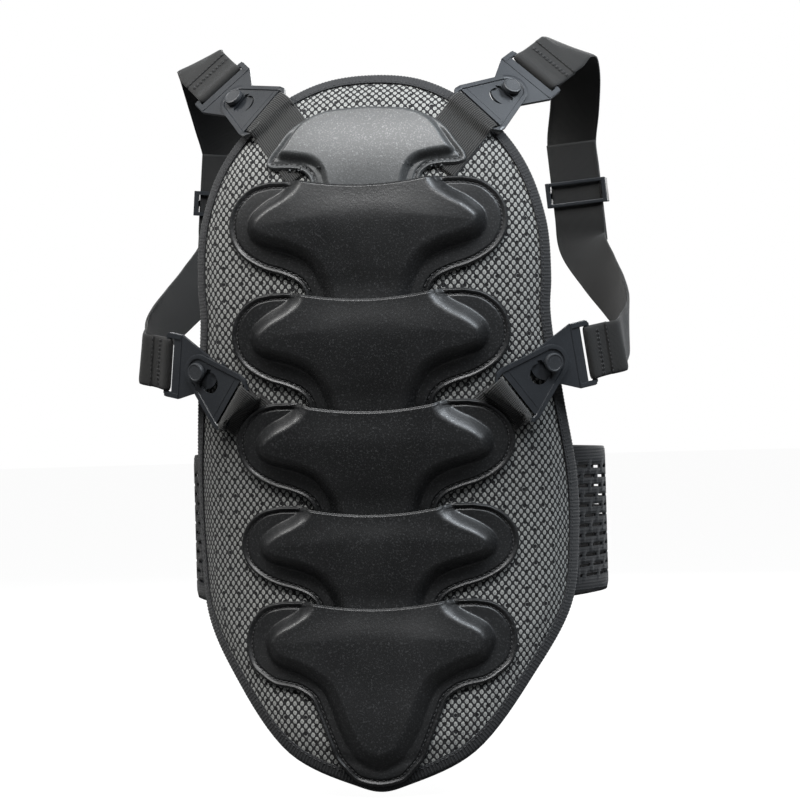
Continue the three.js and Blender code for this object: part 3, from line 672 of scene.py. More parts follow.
FLANGE_TAIL = [
    (0, 73), (-3, 86), (-10, 95), (-20, 101), (-33, 103), (-44, 101), (-50, 98), (-57, 90),
    (-62.5, 81), (-67, 62), (-74, 51.6), (-84, 47), (-94, 43), (-108, 37.5), (-119, 32.6),
    (-128, 25), (-134.5, 18), (-137.5, 9), (-138.5, 2),
]
RISE_TAIL = [(0, 10.3), (-34, 11.5), (-64, 10), (-96, 9), (-112, 8), (-126, 6)]
DOME_NECK = [
    (130.5, 4), (128, 31), (122.5, 45), (115, 53.5), (102, 62), (95, 66.5), (92, 65),
    (90.6, 58), (89.2, 48), (86.8, 40), (82, 34.5), (74, 31.5), (62, 30),
]
FLANGE_NECK = [
    (130.5, 5), (128, 32), (122.5, 47), (114, 59), (102, 68), (93, 74.5), (87.5, 75.5),
    (84.6, 70), (84, 58), (82.5, 49), (78, 43), (72, 41), (62, 40),
]
RISE_NECK = [(130.5, 6.2), (102, 6.8), (62, 6.6)]
LIP_SAG, LIP_HALF_WIDTH = 6.5, 56
SPINE_FORM = {"dome": DOME, "flange": FLANGE, "rise": RISE, "lip": True, "wall": 11.5}
TAIL_FORM = {"dome": DOME_TAIL, "flange": FLANGE_TAIL, "rise": RISE_TAIL, "lip": True, "wall": 11.5}
NECK_FORM = {"dome": DOME_NECK, "flange": FLANGE_NECK, "rise": RISE_NECK, "lip": False, "wall": 5.2}
PLATES = [
    {"node": "neck_plate", "form": NECK_FORM, "at": 0, "stretch": 1, "covered": 79},
    {"node": "spine_plate_1", "form": SPINE_FORM, "at": 75.5, "stretch": 1, "covered": -5},
    {"node": "spine_plate_2", "form": SPINE_FORM, "at": -8, "stretch": 1, "covered": -88},
    {"node": "spine_plate_3", "form": SPINE_FORM, "at": -90.5, "stretch": 0.95, "covered": -166},
    {"node": "spine_plate_4", "form": SPINE_FORM, "at": -168.5, "stretch": 0.9, "covered": -238},
    {"node": "spine_plate_5", "form": TAIL_FORM, "at": -240.5, "stretch": 1, "covered": -999},
]
for form in (SPINE_FORM, TAIL_FORM, NECK_FORM):
    for part in ("dome", "flange", "rise"):
        line = curve_through([(width, z) for z, width in form[part]], 10)
        line[:, 1] = np.minimum.accumulate(line[:, 1])
        form[part + "_line"] = line
print("plates:", [plate["node"] for plate in PLATES])

# %% [markdown]
# ## The height of a plate
# One function gives the plate's height anywhere, from two distances: how far the point is from
# the flange's edge and from the dome's foot. Near the edge comes a rounded bead, then the sunk
# stitching channel, then the flat flange; past the foot the wall climbs in a soft S and the dome
# is slightly crowned. Working from distances keeps the bead and wall equally wide all round.

# %% Plate height
FLANGE_TOP = 2.3
BEAD_AT, BEAD_WIDTH, BEAD_HEIGHT = 1.6, 1.0, 0.95
CHANNEL_AT, CHANNEL_WIDTH, CHANNEL_DEPTH = 4.4, 0.95, 1.15
EDGE_ROUND, LIP_ROUND = 1.0, 1.6
CROWN = 1.5
SHOULDER = 0.62  # below 1 the wall starts sharply at its foot and rounds off softly at its top
PLATE_GAP = 0.7
PLATE_WALL = 1.6
TIP_HALF_WIDTH = 3  # an outline that ends narrower than this is a closed tip


def measure_at(line, z):
    """The half-width, or the rise, that a plate's line has at height z."""
    return np.interp(z, line[::-1, 1], line[::-1, 0])


def open_line(form, part):
    """The outline, carried on past the lip so that the lip's edge is no wall."""
    line = form[part + "_line"]
    if line[-1, 0] < TIP_HALF_WIDTH:
        line = np.vstack([line, (0, line[-1, 1] - 0.1)])
    if not form["lip"]:
        return np.vstack([(0, line[0, 1]), line])
    if part == "dome":
        return np.vstack([(line[0, 0], 40), line])
    return np.vstack([(LIP_HALF_WIDTH, 0), line])


def plate_height(form, x, z):
    points = np.stack([np.abs(x), z], axis=-1)
    to_edge = distance_to(open_line(form, "flange"), points)
    to_foot = distance_to(open_line(form, "dome"), points)
    inside = (np.abs(x) < measure_at(form["dome_line"], z)) & (z >= form["dome_line"][-1, 1])
    wall = smooth(np.where(inside, to_foot, 0), 0, form["wall"]) ** SHOULDER
    border = smooth(to_edge + np.where(inside, 0, to_foot), 2.5, 5) * (1 - wall)
    bead = BEAD_HEIGHT * np.exp(-(((to_edge - BEAD_AT) / BEAD_WIDTH) ** 2))
    channel = CHANNEL_DEPTH * np.exp(-(((to_edge - CHANNEL_AT) / CHANNEL_WIDTH) ** 4))
    rounded = EDGE_ROUND * (1 - smooth(to_edge, 0, 1.3)) * (1 - wall)
    rise = measure_at(form["rise_line"], z)
    height = FLANGE_TOP + border * (bead - channel) - rounded + rise * wall
    if form["lip"]:
        belly = smooth(-z, 0, 34) * (1 - smooth(-z, 48, 84))
        height += CROWN * belly * smooth(np.where(inside, to_foot, 0), 6, 42)
        height -= LIP_ROUND * (1 - smooth(-z, 0, 2.2)) ** 2 * wall
    return height


def seat_height(x, z):
    depth = edge_depth(x, z)
    return thickness_at(depth) + 1.6 * (1 - smooth(depth, 10.5, 18)) + PLATE_GAP


def plate_point(plate, x, z, lift=0):
    world_z = np.array(z, float)
    if plate["form"]["lip"]:
        sag = LIP_SAG * np.maximum(0, 1 - (x / LIP_HALF_WIDTH) ** 2) * smooth(z, -34, 0)
        world_z = plate["at"] + z * plate["stretch"] - sag
    height = seat_height(x, world_z) + plate_height(plate["form"], x, z) + lift
    return skin_point(x, world_z, height)


# %% [markdown]
# ## Lock stitches
# A stitch is a short, flattened bead of thread that lies in the channel. It is repeated hundreds
# of times, so each has only a few dozen faces. The line of stitches is the plate's own outline
# moved inwards to the channel, walked in equal steps.

# %% Stitches
STITCH_PITCH, STITCH_LENGTH, STITCH_RADIUS = 3.9, 2.7, 0.48


def add_stitches(bm, places, along, outward):
    """One bead of thread for each place, lying along its seam."""
    for place, run, out in zip(places, along, outward):
        across = np.cross(out, run)
        turn = np.array([run, across, out]).T * np.array(
            [STITCH_LENGTH / 2, STITCH_RADIUS, STITCH_RADIUS * 0.8]
        )
        matrix = np.eye(4)
        matrix[:3, :3] = turn * MM
        matrix[:3, 3] = place * MM
        bmesh.ops.create_uvsphere(
            bm, u_segments=8, v_segments=4, radius=1, matrix=Matrix(matrix.tolist())
        )


def stitch_plate(plate):
    form = plate["form"]
    line = open_line(form, "flange")
    length = arc_length(line)
    steps = np.arange(2, length[-1] - 1, STITCH_PITCH)
    bm = bmesh.new()
    for side in (1, -1):
        x, z = np.interp(steps, length, line[:, 0]), np.interp(steps, length, line[:, 1])
        run = np.stack([np.gradient(x), np.gradient(z)], axis=-1)
        run /= np.linalg.norm(run, axis=1, keepdims=True)
        x, z = x + run[:, 1] * CHANNEL_AT, z - run[:, 0] * CHANNEL_AT
        flat = np.stack([x, z], axis=-1)
        room = distance_to(form["dome_line"], flat) * np.where(
            x > measure_at(form["dome_line"], z), 1, -1
        )
        fits = (np.abs(distance_to(line, flat) - CHANNEL_AT) < 0.5) & (room > 0.6)
        shown = z * plate["stretch"] + plate["at"] > plate["covered"] - 4
        chosen = np.flatnonzero(fits & shown & (z < form["flange_line"][0, 1] - 1))
        x, z, run = x[chosen], z[chosen], run[chosen]
        here = plate_point(plate, side * x, z, 0.3)
        ahead = plate_point(plate, side * (x + run[:, 0]), z + run[:, 1], 0.3)
        along = (ahead - here) / np.linalg.norm(ahead - here, axis=1, keepdims=True)
        out = body_normal(here[:, 0], here[:, 2])
        out = out - (out * along).sum(1)[:, None] * along
        add_stitches(bm, here, along, out / np.linalg.norm(out, axis=1, keepdims=True))
    return make_piece(plate["node"] + "_stitches", bm, [thread], body="root")


# %% [markdown]
# ## Pressing the plates
# The grid's rows run from edge to edge of the flange at their own height, so its border is the
# flange's outline exactly. The rows are spaced evenly along the outline, not down the plate, so
# that they lie close together where the outline turns sideways. The wall is added behind the
# outer face, as a pressed skin has one thickness everywhere.

# %% Neck and spine plates
PLATE_STEP = 1.0


def press_plate(plate):
    form = plate["form"]
    line = form["flange_line"]
    length = arc_length(line)

    def lay(u, v):
        far = (1 - v) * length[-1]
        x, z = u * np.interp(far, length, line[:, 0]), np.interp(far, length, line[:, 1])
        return plate_point(plate, x, z), np.stack([x, z], axis=-1)

    columns = int(2 * line[:, 0].max() / PLATE_STEP)
    bm = laid_grid(columns, int(length[-1] / PLATE_STEP), lay)
    turn_outwards(bm, off_the_back)
    # The neck plate takes the lighter skin, whose extra lightness is painted light.
    skin = neck_skin_painted_light if plate["node"] == "neck_plate" else moulded_skin
    nodes = [plate["node"]]
    piece = make_piece(plate["node"] + "_moulding", bm, [skin], nodes, "root")
    give_wall(piece, PLATE_WALL)


for plate in PLATES:
    press_plate(plate)
    stitch_plate(plate)

# %% [markdown]
# ## The mesh cover
# The cover is a black diamond net over pale punched cloth. Laid flat, a diamond net is a grid
# standing on its corner, so `create_grid` makes the whole net and each of its faces is one
# opening. `inset_individual` splits every opening into its cord and its pale window, whose rim
# is drawn to an oval, and a second inset gives the cloth a soft crown. The flat net is then laid
# on the back by arc length, because cloth bends but hardly stretches.

# %% Cloth measure
ARC_Z = np.arange(-420.0, 221.0, 10)
ARC_X = np.arange(0.0, 154.0, 1)
sections = np.array([body_depth(ARC_X, np.full_like(ARC_X, z)) for z in ARC_Z])
steps_across = np.sqrt(1 + np.diff(sections, axis=1) ** 2)
ARC_S = np.hstack([np.zeros((len(ARC_Z), 1)), np.cumsum(steps_across, axis=1)])
SPINE_Z = np.arange(-420.0, 221.0, 1)
spine_run = np.concatenate([[0], np.cumsum(np.sqrt(1 + np.diff(spine_depth(SPINE_Z)) ** 2))])
SPINE_T = spine_run - np.interp(0, SPINE_Z, spine_run)


def cloth_to_back(s, t):
    """Where a point of the flat cloth lies on the back: x and z."""
    z = np.interp(t, SPINE_T, SPINE_Z)
    row = np.clip((z - ARC_Z[0]) / 10, 0, len(ARC_Z) - 1.001)
    below = row.astype(int)
    x = np.zeros_like(z)
    for index in np.unique(below):
        mine = below == index
        share = row[mine] - index
        low = np.interp(np.abs(s[mine]), ARC_S[index], ARC_X)
        high = np.interp(np.abs(s[mine]), ARC_S[index + 1], ARC_X)
        x[mine] = low * (1 - share) + high * share
    return np.sign(s) * x, z


print("the cover is", round(2 * float(ARC_S[:, -1].max())), "mm wide laid flat")

# %% Net and windows
WINDOW = (1.56, 2.02)  # half-width and half-height of a pale window
NET_CELLS = 156
NET_CENTRE = -33 * CELL_HEIGHT / 2
CORD_HEIGHT, WINDOW_CROWN = 0.7, 0.35
COVER_SINK = 0.45
TUCKED = 3.5  # the cover's raw edge lies this far inside the panel's edge, under the tape
HIDDEN_BY, HIDDEN_BELOW = 6, 4  # this far inside a plate's outline the cover is out of sight


def is_covered(x, z):
    """True where a plate hides the cover."""
    hidden = np.zeros(len(x), bool)
    for plate in PLATES:
        line = plate["form"]["flange_line"]
        own_z = (z - plate["at"]) / plate["stretch"]
        within = np.abs(x) < measure_at(line, own_z) - HIDDEN_BY
        hidden |= within & (own_z < line[0, 1] - HIDDEN_BY) & (own_z > line[-1, 1] + HIDDEN_BELOW)
    return hidden


def cut_net():
    bm = bmesh.new()
    bmesh.ops.create_grid(bm, x_segments=NET_CELLS, y_segments=NET_CELLS, size=NET_CELLS / 2)
    for vert in bm.verts:
        a, b, _ = vert.co
        vert.co = ((a - b) * CELL_WIDTH / 2, (a + b) * CELL_HEIGHT / 2 + NET_CENTRE, 0)
    faces = list(bm.faces)
    centres = np.array([face.calc_center_median()[:2] for face in faces])
    x, z = cloth_to_back(centres[:, 0], centres[:, 1])
    limit = np.interp(z, ARC_Z, ARC_S[:, -1])
    inside = (edge_depth(x, z) > TUCKED) & (np.abs(centres[:, 0]) < limit - 1)
    bmesh.ops.delete(bm, geom=[f for f, keep in zip(faces, inside) if not keep], context="FACES")
    shown = inside & ~is_covered(x, z)
    return bm, [face for face, keep in zip(faces, shown) if keep]


def open_windows(bm, faces):
    for face in faces:
        face.material_index = 1
    edges = list({edge for face in faces for edge in face.edges})
    bmesh.ops.bisect_edges(bm, edges=edges, cuts=1)
    corners = list({vert for face in faces for vert in face.verts})
    bmesh.ops.translate(bm, verts=corners, vec=(0, 0, CORD_HEIGHT))
    bmesh.ops.inset_individual(bm, faces=faces, thickness=0.4)
    wide, tall = WINDOW
    for face in faces:
        face.material_index = 0
        centre = face.calc_center_median()
        for vert in face.verts:
            side, up = vert.co.x - centre.x, vert.co.y - centre.y
            reach = math.hypot(side / wide, up / tall)
            vert.co = (centre.x + side / reach, centre.y + up / reach, 0)
    rings = bmesh.ops.inset_individual(bm, faces=faces, thickness=0.6, depth=WINDOW_CROWN)
    for face in rings["faces"]:
        face.material_index = 0


def lay_cover():
    bm, faces = cut_net()
    open_windows(bm, faces)
    flat = np.array([vert.co for vert in bm.verts])
    write_uv(bm, flat[:, :2] * MM)
    x, z = cloth_to_back(flat[:, 0], flat[:, 1])
    height = thickness_at(edge_depth(x, z)) - COVER_SINK + flat[:, 2]
    for vert, point in zip(bm.verts, skin_point(x, z, height) * MM):
        vert.co = point
    turn_outwards(bm, off_the_back)
    materials = [pale_fabric, net_cord]
    cover = make_piece("mesh_cover_net", bm, materials, ["mesh_cover"], "root")
    print(len(faces), "windows")


lay_cover()

# %% [markdown]
# ## Lining and foam
# The lining is the soft face against the wearer, quilted lightly in diamonds so that air can
# pass. It follows the panel row by row, like a plate. The foam core between the two cloths and
# the pads inside the domes are the plain solids with their edges eased and their faces relaxed,
# since foam has no sharp corner. Each is drawn in a little, so that it stays under its skin.

# %% Lining
LINING_WALL, LINING_INSET = 1.2, 4.0
QUILT_DEPTH, QUILT_PITCH = 0.5, 34.0
right_edge = edge_loop[: len(edge_loop) // 2 + 1]


def lay_lining():
    inner = right_edge * (1 - LINING_INSET / 150)
    top, bottom = right_edge[0, 1] - LINING_INSET, right_edge[-1, 1] + LINING_INSET
    line = np.stack([inner[:, 0], np.interp(inner[:, 1], inner[::-1, 1], inner[::-1, 1])], axis=-1)

    def lay(u, v):
        z = bottom + (top - bottom) * v
        reach = np.interp(z, line[::-1, 1], line[::-1, 0])
        x = u * np.maximum(reach, 1)
        wave = np.abs(np.sin((x + z) * np.pi / QUILT_PITCH) * np.sin((x - z) * np.pi / QUILT_PITCH))
        puff = QUILT_DEPTH * (1 - wave**0.5) * smooth(edge_depth(x, z), 8, 30)
        return skin_point(x, z, puff), np.stack([x, z], axis=-1)

    bm = laid_grid(130, 230, lay)
    turn_outwards(bm, lambda points: -off_the_back(points))
    lining = make_piece("back_lining_knit", bm, [lining_knit], ["back_lining"], "root")
    give_wall(lining, LINING_WALL)


lay_lining()


# %% Foam core and pads
FOAM_ROOM = 0.9


def ease_foam(node, name, cuts):
    bm = bmesh.new()
    bm.from_mesh(frame["nodes"][node].data)
    bmesh.ops.remove_doubles(bm, verts=bm.verts, dist=1e-5)
    bmesh.ops.subdivide_edges(bm, edges=bm.edges, cuts=cuts, use_grid_fill=True)
    for _ in range(3):
        bmesh.ops.smooth_vert(
            bm, verts=bm.verts, factor=0.5, use_axis_x=True, use_axis_y=True, use_axis_z=True
        )
    bm.normal_update()
    for vert in bm.verts:
        vert.co -= vert.normal * FOAM_ROOM * MM
    pad = make_piece(name, bm, [foam_skin], [node], "root")


ease_foam("foam_core", "foam_core_sheet", 1)
for plate in PLATES:
    node = plate["node"].replace("plate", "plate_foam")
    ease_foam(node, plate["node"] + "_impact_pad", 2)

# %% [markdown]
# ## Binding tape
# The edge is closed by a tape folded over it and sewn through. Its section is a flattened C with
# soft corners, carried round the whole edge, and fine ribs cross it. A grid makes it: one way
# goes round the edge, the other round the section, and merging doubles closes both ways.

# %% Binding
TAPE, TAPE_LEG, TAPE_ROOM = 1.1, 9.3, 0.35
TAPE_SEAM, TAPE_STITCH_PITCH = 1.7, 4.2
RIB_PITCH, RIB_HEIGHT = 2.6, 0.22
TAPE_STEPS = 2200
edge_length = arc_length(edge_line)


def tape_section():
    """The tape's section: distance inside the edge, share of the panel's thickness, lift."""
    reach, out = TAPE_LEG, TAPE + TAPE_ROOM
    points = [
        (reach, 1, TAPE_ROOM), (reach, 1, out * 0.8), (reach - 1, 1, out), (4, 1, out),
        (1.2, 1, out * 0.75), (0, 0.8, 0.3), (-0.2, 0.5, 0), (0, 0.2, -0.3), (1.2, 0, -out * 0.75),
        (4, 0, -out), (reach - 1, 0, -out), (reach, 0, -out * 0.8), (reach, 0, -TAPE_ROOM),
        (5, 0, -TAPE_ROOM), (1.4, 0.3, 0), (1.1, 0.5, 0), (1.4, 0.7, 0), (5, 1, TAPE_ROOM),
    ]
    return curve_through(points, 2, closed=True)


def wrap_binding():
    section = tape_section()
    inward = np.stack([tangents(edge_line)[:, 1], -tangents(edge_line)[:, 0]], axis=-1)
    if inward[0, 1] > 0:
        inward = -inward
    closed = np.vstack([section, section[:1]])

    def lay(u, v):
        far = v * edge_length[-1]
        base = np.stack([np.interp(far, edge_length, edge_line[:, k]) for k in (0, 1)], axis=-1)
        aim = np.stack([np.interp(far, edge_length, inward[:, k]) for k in (0, 1)], axis=-1)
        place = (u + 1) / 2 * (len(closed) - 1)
        index = np.arange(len(closed))
        inset, share, lift = (np.interp(place, index, closed[:, k]) for k in range(3))
        at = base + aim * inset[:, None]
        panel = thickness_at(np.maximum(inset, 0))
        ribs = RIB_HEIGHT * np.cos(2 * np.pi * far / RIB_PITCH) * smooth(np.abs(lift), 0.2, 0.9)
        height = share * panel + lift + ribs * np.sign(lift)
        return skin_point(at[:, 0], at[:, 1], height), np.stack([inset, far], axis=-1)

    bm = laid_grid(len(closed) - 1, TAPE_STEPS, lay)
    bmesh.ops.remove_doubles(bm, verts=bm.verts, dist=1e-5)
    bmesh.ops.recalc_face_normals(bm, faces=bm.faces)
    make_piece("edge_binding_tape", bm, [binding_tape], ["edge_binding"], "root")


def stitch_binding():
    steps = np.arange(0, edge_length[-1], TAPE_STITCH_PITCH)
    x, z = (np.interp(steps, edge_length, edge_line[:, k]) for k in (0, 1))
    run = np.stack([np.gradient(x), np.gradient(z)], axis=-1)
    run /= np.linalg.norm(run, axis=1, keepdims=True)
    x, z = x + run[:, 1] * (TAPE_LEG - TAPE_SEAM), z - run[:, 0] * (TAPE_LEG - TAPE_SEAM)
    depth = edge_depth(x, z)
    bm = bmesh.new()
    for face, lift in ((1, TAPE + TAPE_ROOM + 0.12), (0, -TAPE - TAPE_ROOM - 0.12)):
        here = skin_point(x, z, thickness_at(depth) * face + lift)
        ahead = np.roll(here, -1, axis=0) - np.roll(here, 1, axis=0)
        along = ahead / np.linalg.norm(ahead, axis=1, keepdims=True)
        out = body_normal(x, z)
        out = out - (out * along).sum(1)[:, None] * along
        add_stitches(bm, here, along, out / np.linalg.norm(out, axis=1, keepdims=True))
    make_piece("edge_binding_stitches", bm, [thread], body="root")


wrap_binding()
stitch_binding()

# %% [markdown]
# ## Where the buckles sit
# Each buckle has its own axes: u from the panel to the strap, v across, w outwards. The frame
# knows them: the swivel's place and axis are the stud's, and the release slide runs back along
# the keyhole plate. The strap's direction is where the stud plate lies from its stud.


# %% Buckle axes
def buckle_axes(place):
    at = Vector(joints["swivel_" + place]["pos_m"])
    normal = Vector(joints["swivel_" + place]["axis"]).normalized()
    keyhole = -Vector(joints["release_" + place]["axis"]).normalized()
    points = np.array([vert.co for vert in frame["nodes"]["stud_plate_" + place].data.vertices])
    mean = Vector(np.unique(points.round(6), axis=0).mean(0)) - at
    strap = (mean - normal * mean.dot(normal)).normalized()
    axes = {}
    for name, along in (("keyhole", keyhole), ("strap", strap)):
        turn = Matrix([along, normal.cross(along), normal]).transposed().to_4x4()
        axes[name] = Matrix.Translation(at) @ turn @ Matrix.Scale(MM, 4)
    return axes


PLACES = [f"{buckle}_{side}" for side in ("left", "right") for buckle in ("shoulder", "side")]
AXES = {place: buckle_axes(place) for place in PLACES}
print("buckles:", PLACES)

# %% [markdown]
# ## Cutting plastic parts
# A buckle plate is a flat moulding with a slot, a keyhole and a raised rim. Its outline is a few
# straight sides and an arc, drawn as one face and extruded; an inset gives the rim. The openings
# are cut with the Boolean modifier, and a bevel eases every edge, because it is that thin bright
# line on each edge that makes plastic look moulded.


# %% Solids, cuts and eased edges
EDGE_EASE = 0.32


def arc(radius, start, end, count, centre=(0, 0)):
    angles = np.linspace(start, end, count)
    return [(centre[0] + radius * math.cos(a), centre[1] + radius * math.sin(a)) for a in angles]


def prism(outline, low, high):
    bm = bmesh.new()
    face = bm.faces.new([bm.verts.new((u, v, low)) for u, v in outline])
    grown = bmesh.ops.extrude_face_region(bm, geom=[face], use_keep_orig=True)["geom"]
    tops = [item for item in grown if isinstance(item, bmesh.types.BMVert)]
    bmesh.ops.translate(bm, verts=tops, vec=(0, 0, high - low))
    bmesh.ops.recalc_face_normals(bm, faces=bm.faces)
    return bm


def top_face(bm):
    return max(bm.faces, key=lambda face: (round(face.calc_center_median().z, 3), face.calc_area()))


def add_bar(bm, low, high):
    """A straight raised bar between two corners."""
    size = [b - a for a, b in zip(low, high)]
    middle = [(a + b) / 2 for a, b in zip(low, high)]
    matrix = Matrix.Translation(middle) @ Matrix.Diagonal((*size, 1))
    bmesh.ops.create_cube(bm, size=1, matrix=matrix)


def loose_object(bm):
    mesh = bpy.data.meshes.new("cutting")
    bm.to_mesh(mesh)
    bm.free()
    piece = bpy.data.objects.new("cutting", mesh)
    bpy.context.scene.collection.objects.link(piece)
    return piece


def combine(first, others):
    """first, with each other solid joined to it or cut from it, as a new mesh."""
    solid = loose_object(first)
    extras = []
    for operation, other in others:
        extra = loose_object(other)
        extras.append(extra)
        step = solid.modifiers.new("cut", "BOOLEAN")
        step.operation = operation
        step.solver = "EXACT"
        step.object = extra
    ease = solid.modifiers.new("ease", "BEVEL")
    ease.width = EDGE_EASE
    ease.segments = 2
    ease.limit_method = "ANGLE"
    ease.angle_limit = math.radians(35)
    ease.use_clamp_overlap = True
    bpy.context.view_layer.update()
    finished = solid.evaluated_get(bpy.context.evaluated_depsgraph_get())
    shape = bpy.data.meshes.new_from_object(finished)
    for extra in [solid, *extras]:
        bpy.data.objects.remove(extra)
    return shape


def place_shape(name, shape, axes, material, node, body):
    bm = bmesh.new()
    bm.from_mesh(shape)
    bmesh.ops.transform(bm, matrix=axes, verts=bm.verts)
    piece = make_piece(name, bm, [material], [node], body)
    keep_creases(piece)


# %% Keyhole plate
KEY_LOW, KEY_HIGH = 4.6, 6.9
KEY_END, KEY_HALF, KEY_TAPER, NOSE = 45, 24.5, 34, 13.5
KEY_RIM, KEY_STEP = 3.3, 0.9
KEY_SLOT = (36, 41.5, 20.75)
SEAT, WIDE, WIDE_AT = 4.2, 8.2, 13


def keyhole_outline(half, end, nose):
    lean = math.atan2(half, KEY_TAPER) + math.acos(nose / math.hypot(half, KEY_TAPER))
    side = math.pi - lean
    ends = [(-end, -half + 5), (-end + 5.5, -half), (-KEY_TAPER, -half)]
    return arc(nose, -side, side, 25) + [(u, -v) for u, v in ends[::-1]] + ends


def keyhole_shape():
    body = prism(keyhole_outline(KEY_HALF, KEY_END, NOSE), KEY_LOW, KEY_HIGH)
    field = [top_face(body)]
    bmesh.ops.inset_region(body, faces=field, thickness=KEY_RIM, depth=0)
    bmesh.ops.inset_region(body, faces=field, thickness=0.5, depth=-KEY_STEP)
    near, far, reach = KEY_SLOT
    slot = [(-far, -reach), (-near, -reach), (-near, reach), (-far, reach)]
    seat = arc(SEAT, -2.2, 2.2, 20)
    wide = arc(WIDE, 0.42, 2 * math.pi - 0.42, 34, (-WIDE_AT, 0))
    notch = [(-8.6, -9.4), (-5.4, -7.2), (-5.4, 7.2), (-8.6, 9.4)]
    cuts = [prism(shape, KEY_LOW - 2, KEY_HIGH + 2) for shape in (slot, seat, wide, notch)]
    ridge = bmesh.new()
    floor = KEY_HIGH - KEY_STEP
    add_bar(ridge, (-near - 0.02, -reach, floor - 0.3), (-near + 0.9, reach, floor + 0.75))
    step = bmesh.new()
    add_bar(step, (-near + 5, -reach + 1, floor - 0.3), (-near + 5.5, reach - 1, floor + 0.22))
    joins = [("UNION", ridge), ("UNION", step)]
    return combine(body, joins + [("DIFFERENCE", cut) for cut in cuts])


# %% Stud plate and stud
STUD_LOW, STUD_HIGH = 1.6, 4.0
STUD_END, STUD_HALF, STUD_TAPER, STUD_NOSE = 36, 25, 21, 12.5
STUD_TONGUE = 4.5  # the nose is drawn out this far under the keyhole
GUARD_REACH, GUARD_TOP = 13.0, 2.5  # a thinner guard goes on past it and closes the keyhole
STUD_SLOT = (28.2, 32.5, 20.75)
RAIL_TOP, RIDGE_TOP = 0.7, 0.45
STUD_PROFILE = [
    (0, 1.2), (4.5, 1.2), (4.7, 1.3), (4.7, 1.45), (4.5, 1.55), (3.5, 1.55), (3.5, 7.6), (6.8, 7.6),
    (7.2, 8), (7.2, 10.2), (6.9, 10.9), (6.2, 11.2), (5.7, 11.15), (5.4, 10.9), (0, 10.8),
]


def stud_plate_shape():
    half, taper, end = STUD_HALF, STUD_TAPER, STUD_END
    lean = math.atan2(half, taper) + math.acos(STUD_NOSE / math.hypot(half, taper))
    ends = [(taper, -half), (end - 2.5, -half), (end, -half + 2.5)]
    curve = arc(STUD_NOSE, lean, 2 * math.pi - lean, 21)

    def drawn_out(reach):
        return [(u - reach * min(1, max(0, -u / 4)), v) for u, v in curve]

    outline = ends + [(u, -v) for u, v in ends[::-1]] + drawn_out(STUD_TONGUE)
    body = prism(outline, STUD_LOW, STUD_HIGH)
    guard = prism(drawn_out(GUARD_REACH), STUD_LOW, GUARD_TOP)
    near, far, reach = STUD_SLOT
    slot = prism([(near, -reach), (far, -reach), (far, reach), (near, reach)], 0, STUD_HIGH + 2)
    ridge = bmesh.new()
    ridge_low = (taper - 0.4, -half + 0.6, STUD_HIGH - 0.4)
    ridge_high = (taper + 0.5, half - 0.6, STUD_HIGH + RIDGE_TOP)
    add_bar(ridge, ridge_low, ridge_high)
    joins = [("UNION", guard), ("UNION", ridge)]
    for side in (-1, 1):
        rail = bmesh.new()
        inner, outer = sorted((side * (reach + 0.5), side * (half - 0.5)))
        add_bar(rail, (taper, inner, STUD_HIGH - 0.4), (end - 1.4, outer, STUD_HIGH + RAIL_TOP))
        joins.append(("UNION", rail))
    return combine(body, joins + [("DIFFERENCE", slot)])


def stud_shape():
    bm = bmesh.new()
    verts = [bm.verts.new((r, 0, w)) for r, w in STUD_PROFILE]
    edges = [bm.edges.new(pair) for pair in zip(verts, verts[1:])]
    bmesh.ops.spin(
        bm, geom=verts + edges, cent=(0, 0, 0), axis=(0, 0, 1), angle=2 * math.pi, steps=36,
        use_merge=True,
    )
    bmesh.ops.remove_doubles(bm, verts=bm.verts, dist=1e-3)
    bmesh.ops.recalc_face_normals(bm, faces=bm.faces)
    shape = bpy.data.meshes.new("stud")
    bm.to_mesh(shape)
    bm.free()
    return shape


# %% Place the buckles
keyhole_mesh, stud_plate_mesh, stud_mesh = keyhole_shape(), stud_plate_shape(), stud_shape()
for place in PLACES:
    key_axes, strap_axes = AXES[place]["keyhole"], AXES[place]["strap"]
    place_shape(
        "keyhole_moulding_" + place, keyhole_mesh, key_axes, buckle_skin,
        "keyhole_plate_" + place, "root",
    )
    place_shape(
        "stud_moulding_" + place, stud_plate_mesh, strap_axes, buckle_skin,
        "stud_plate_" + place, "strap_end_" + place,
    )
    place_shape(
        "stud_button_" + place, stud_mesh, strap_axes, stud_skin,
        "stud_" + place, "stud_" + place,
    )

# %% [markdown]
# ## Webbing
# Webbing is a flat woven band, so it is modelled as one: a grid carried along a route of points,
# each with the direction that the band's face looks. Its ribs run lengthwise and are real, small
# ridges on the thick anchor webbing, and a fine weave on the softer shoulder straps. The band is
# given its thickness afterwards, and its long edges are thinned like a selvedge.

# %% Bands
WEB_WIDTH, WEB = 40, 1.8


def spread(line, count):
    """count points in equal steps along a line."""
    length = arc_length(line)
    steps = np.linspace(0, length[-1], count)
    return np.stack([np.interp(steps, length, line[:, k]) for k in range(3)], axis=-1)


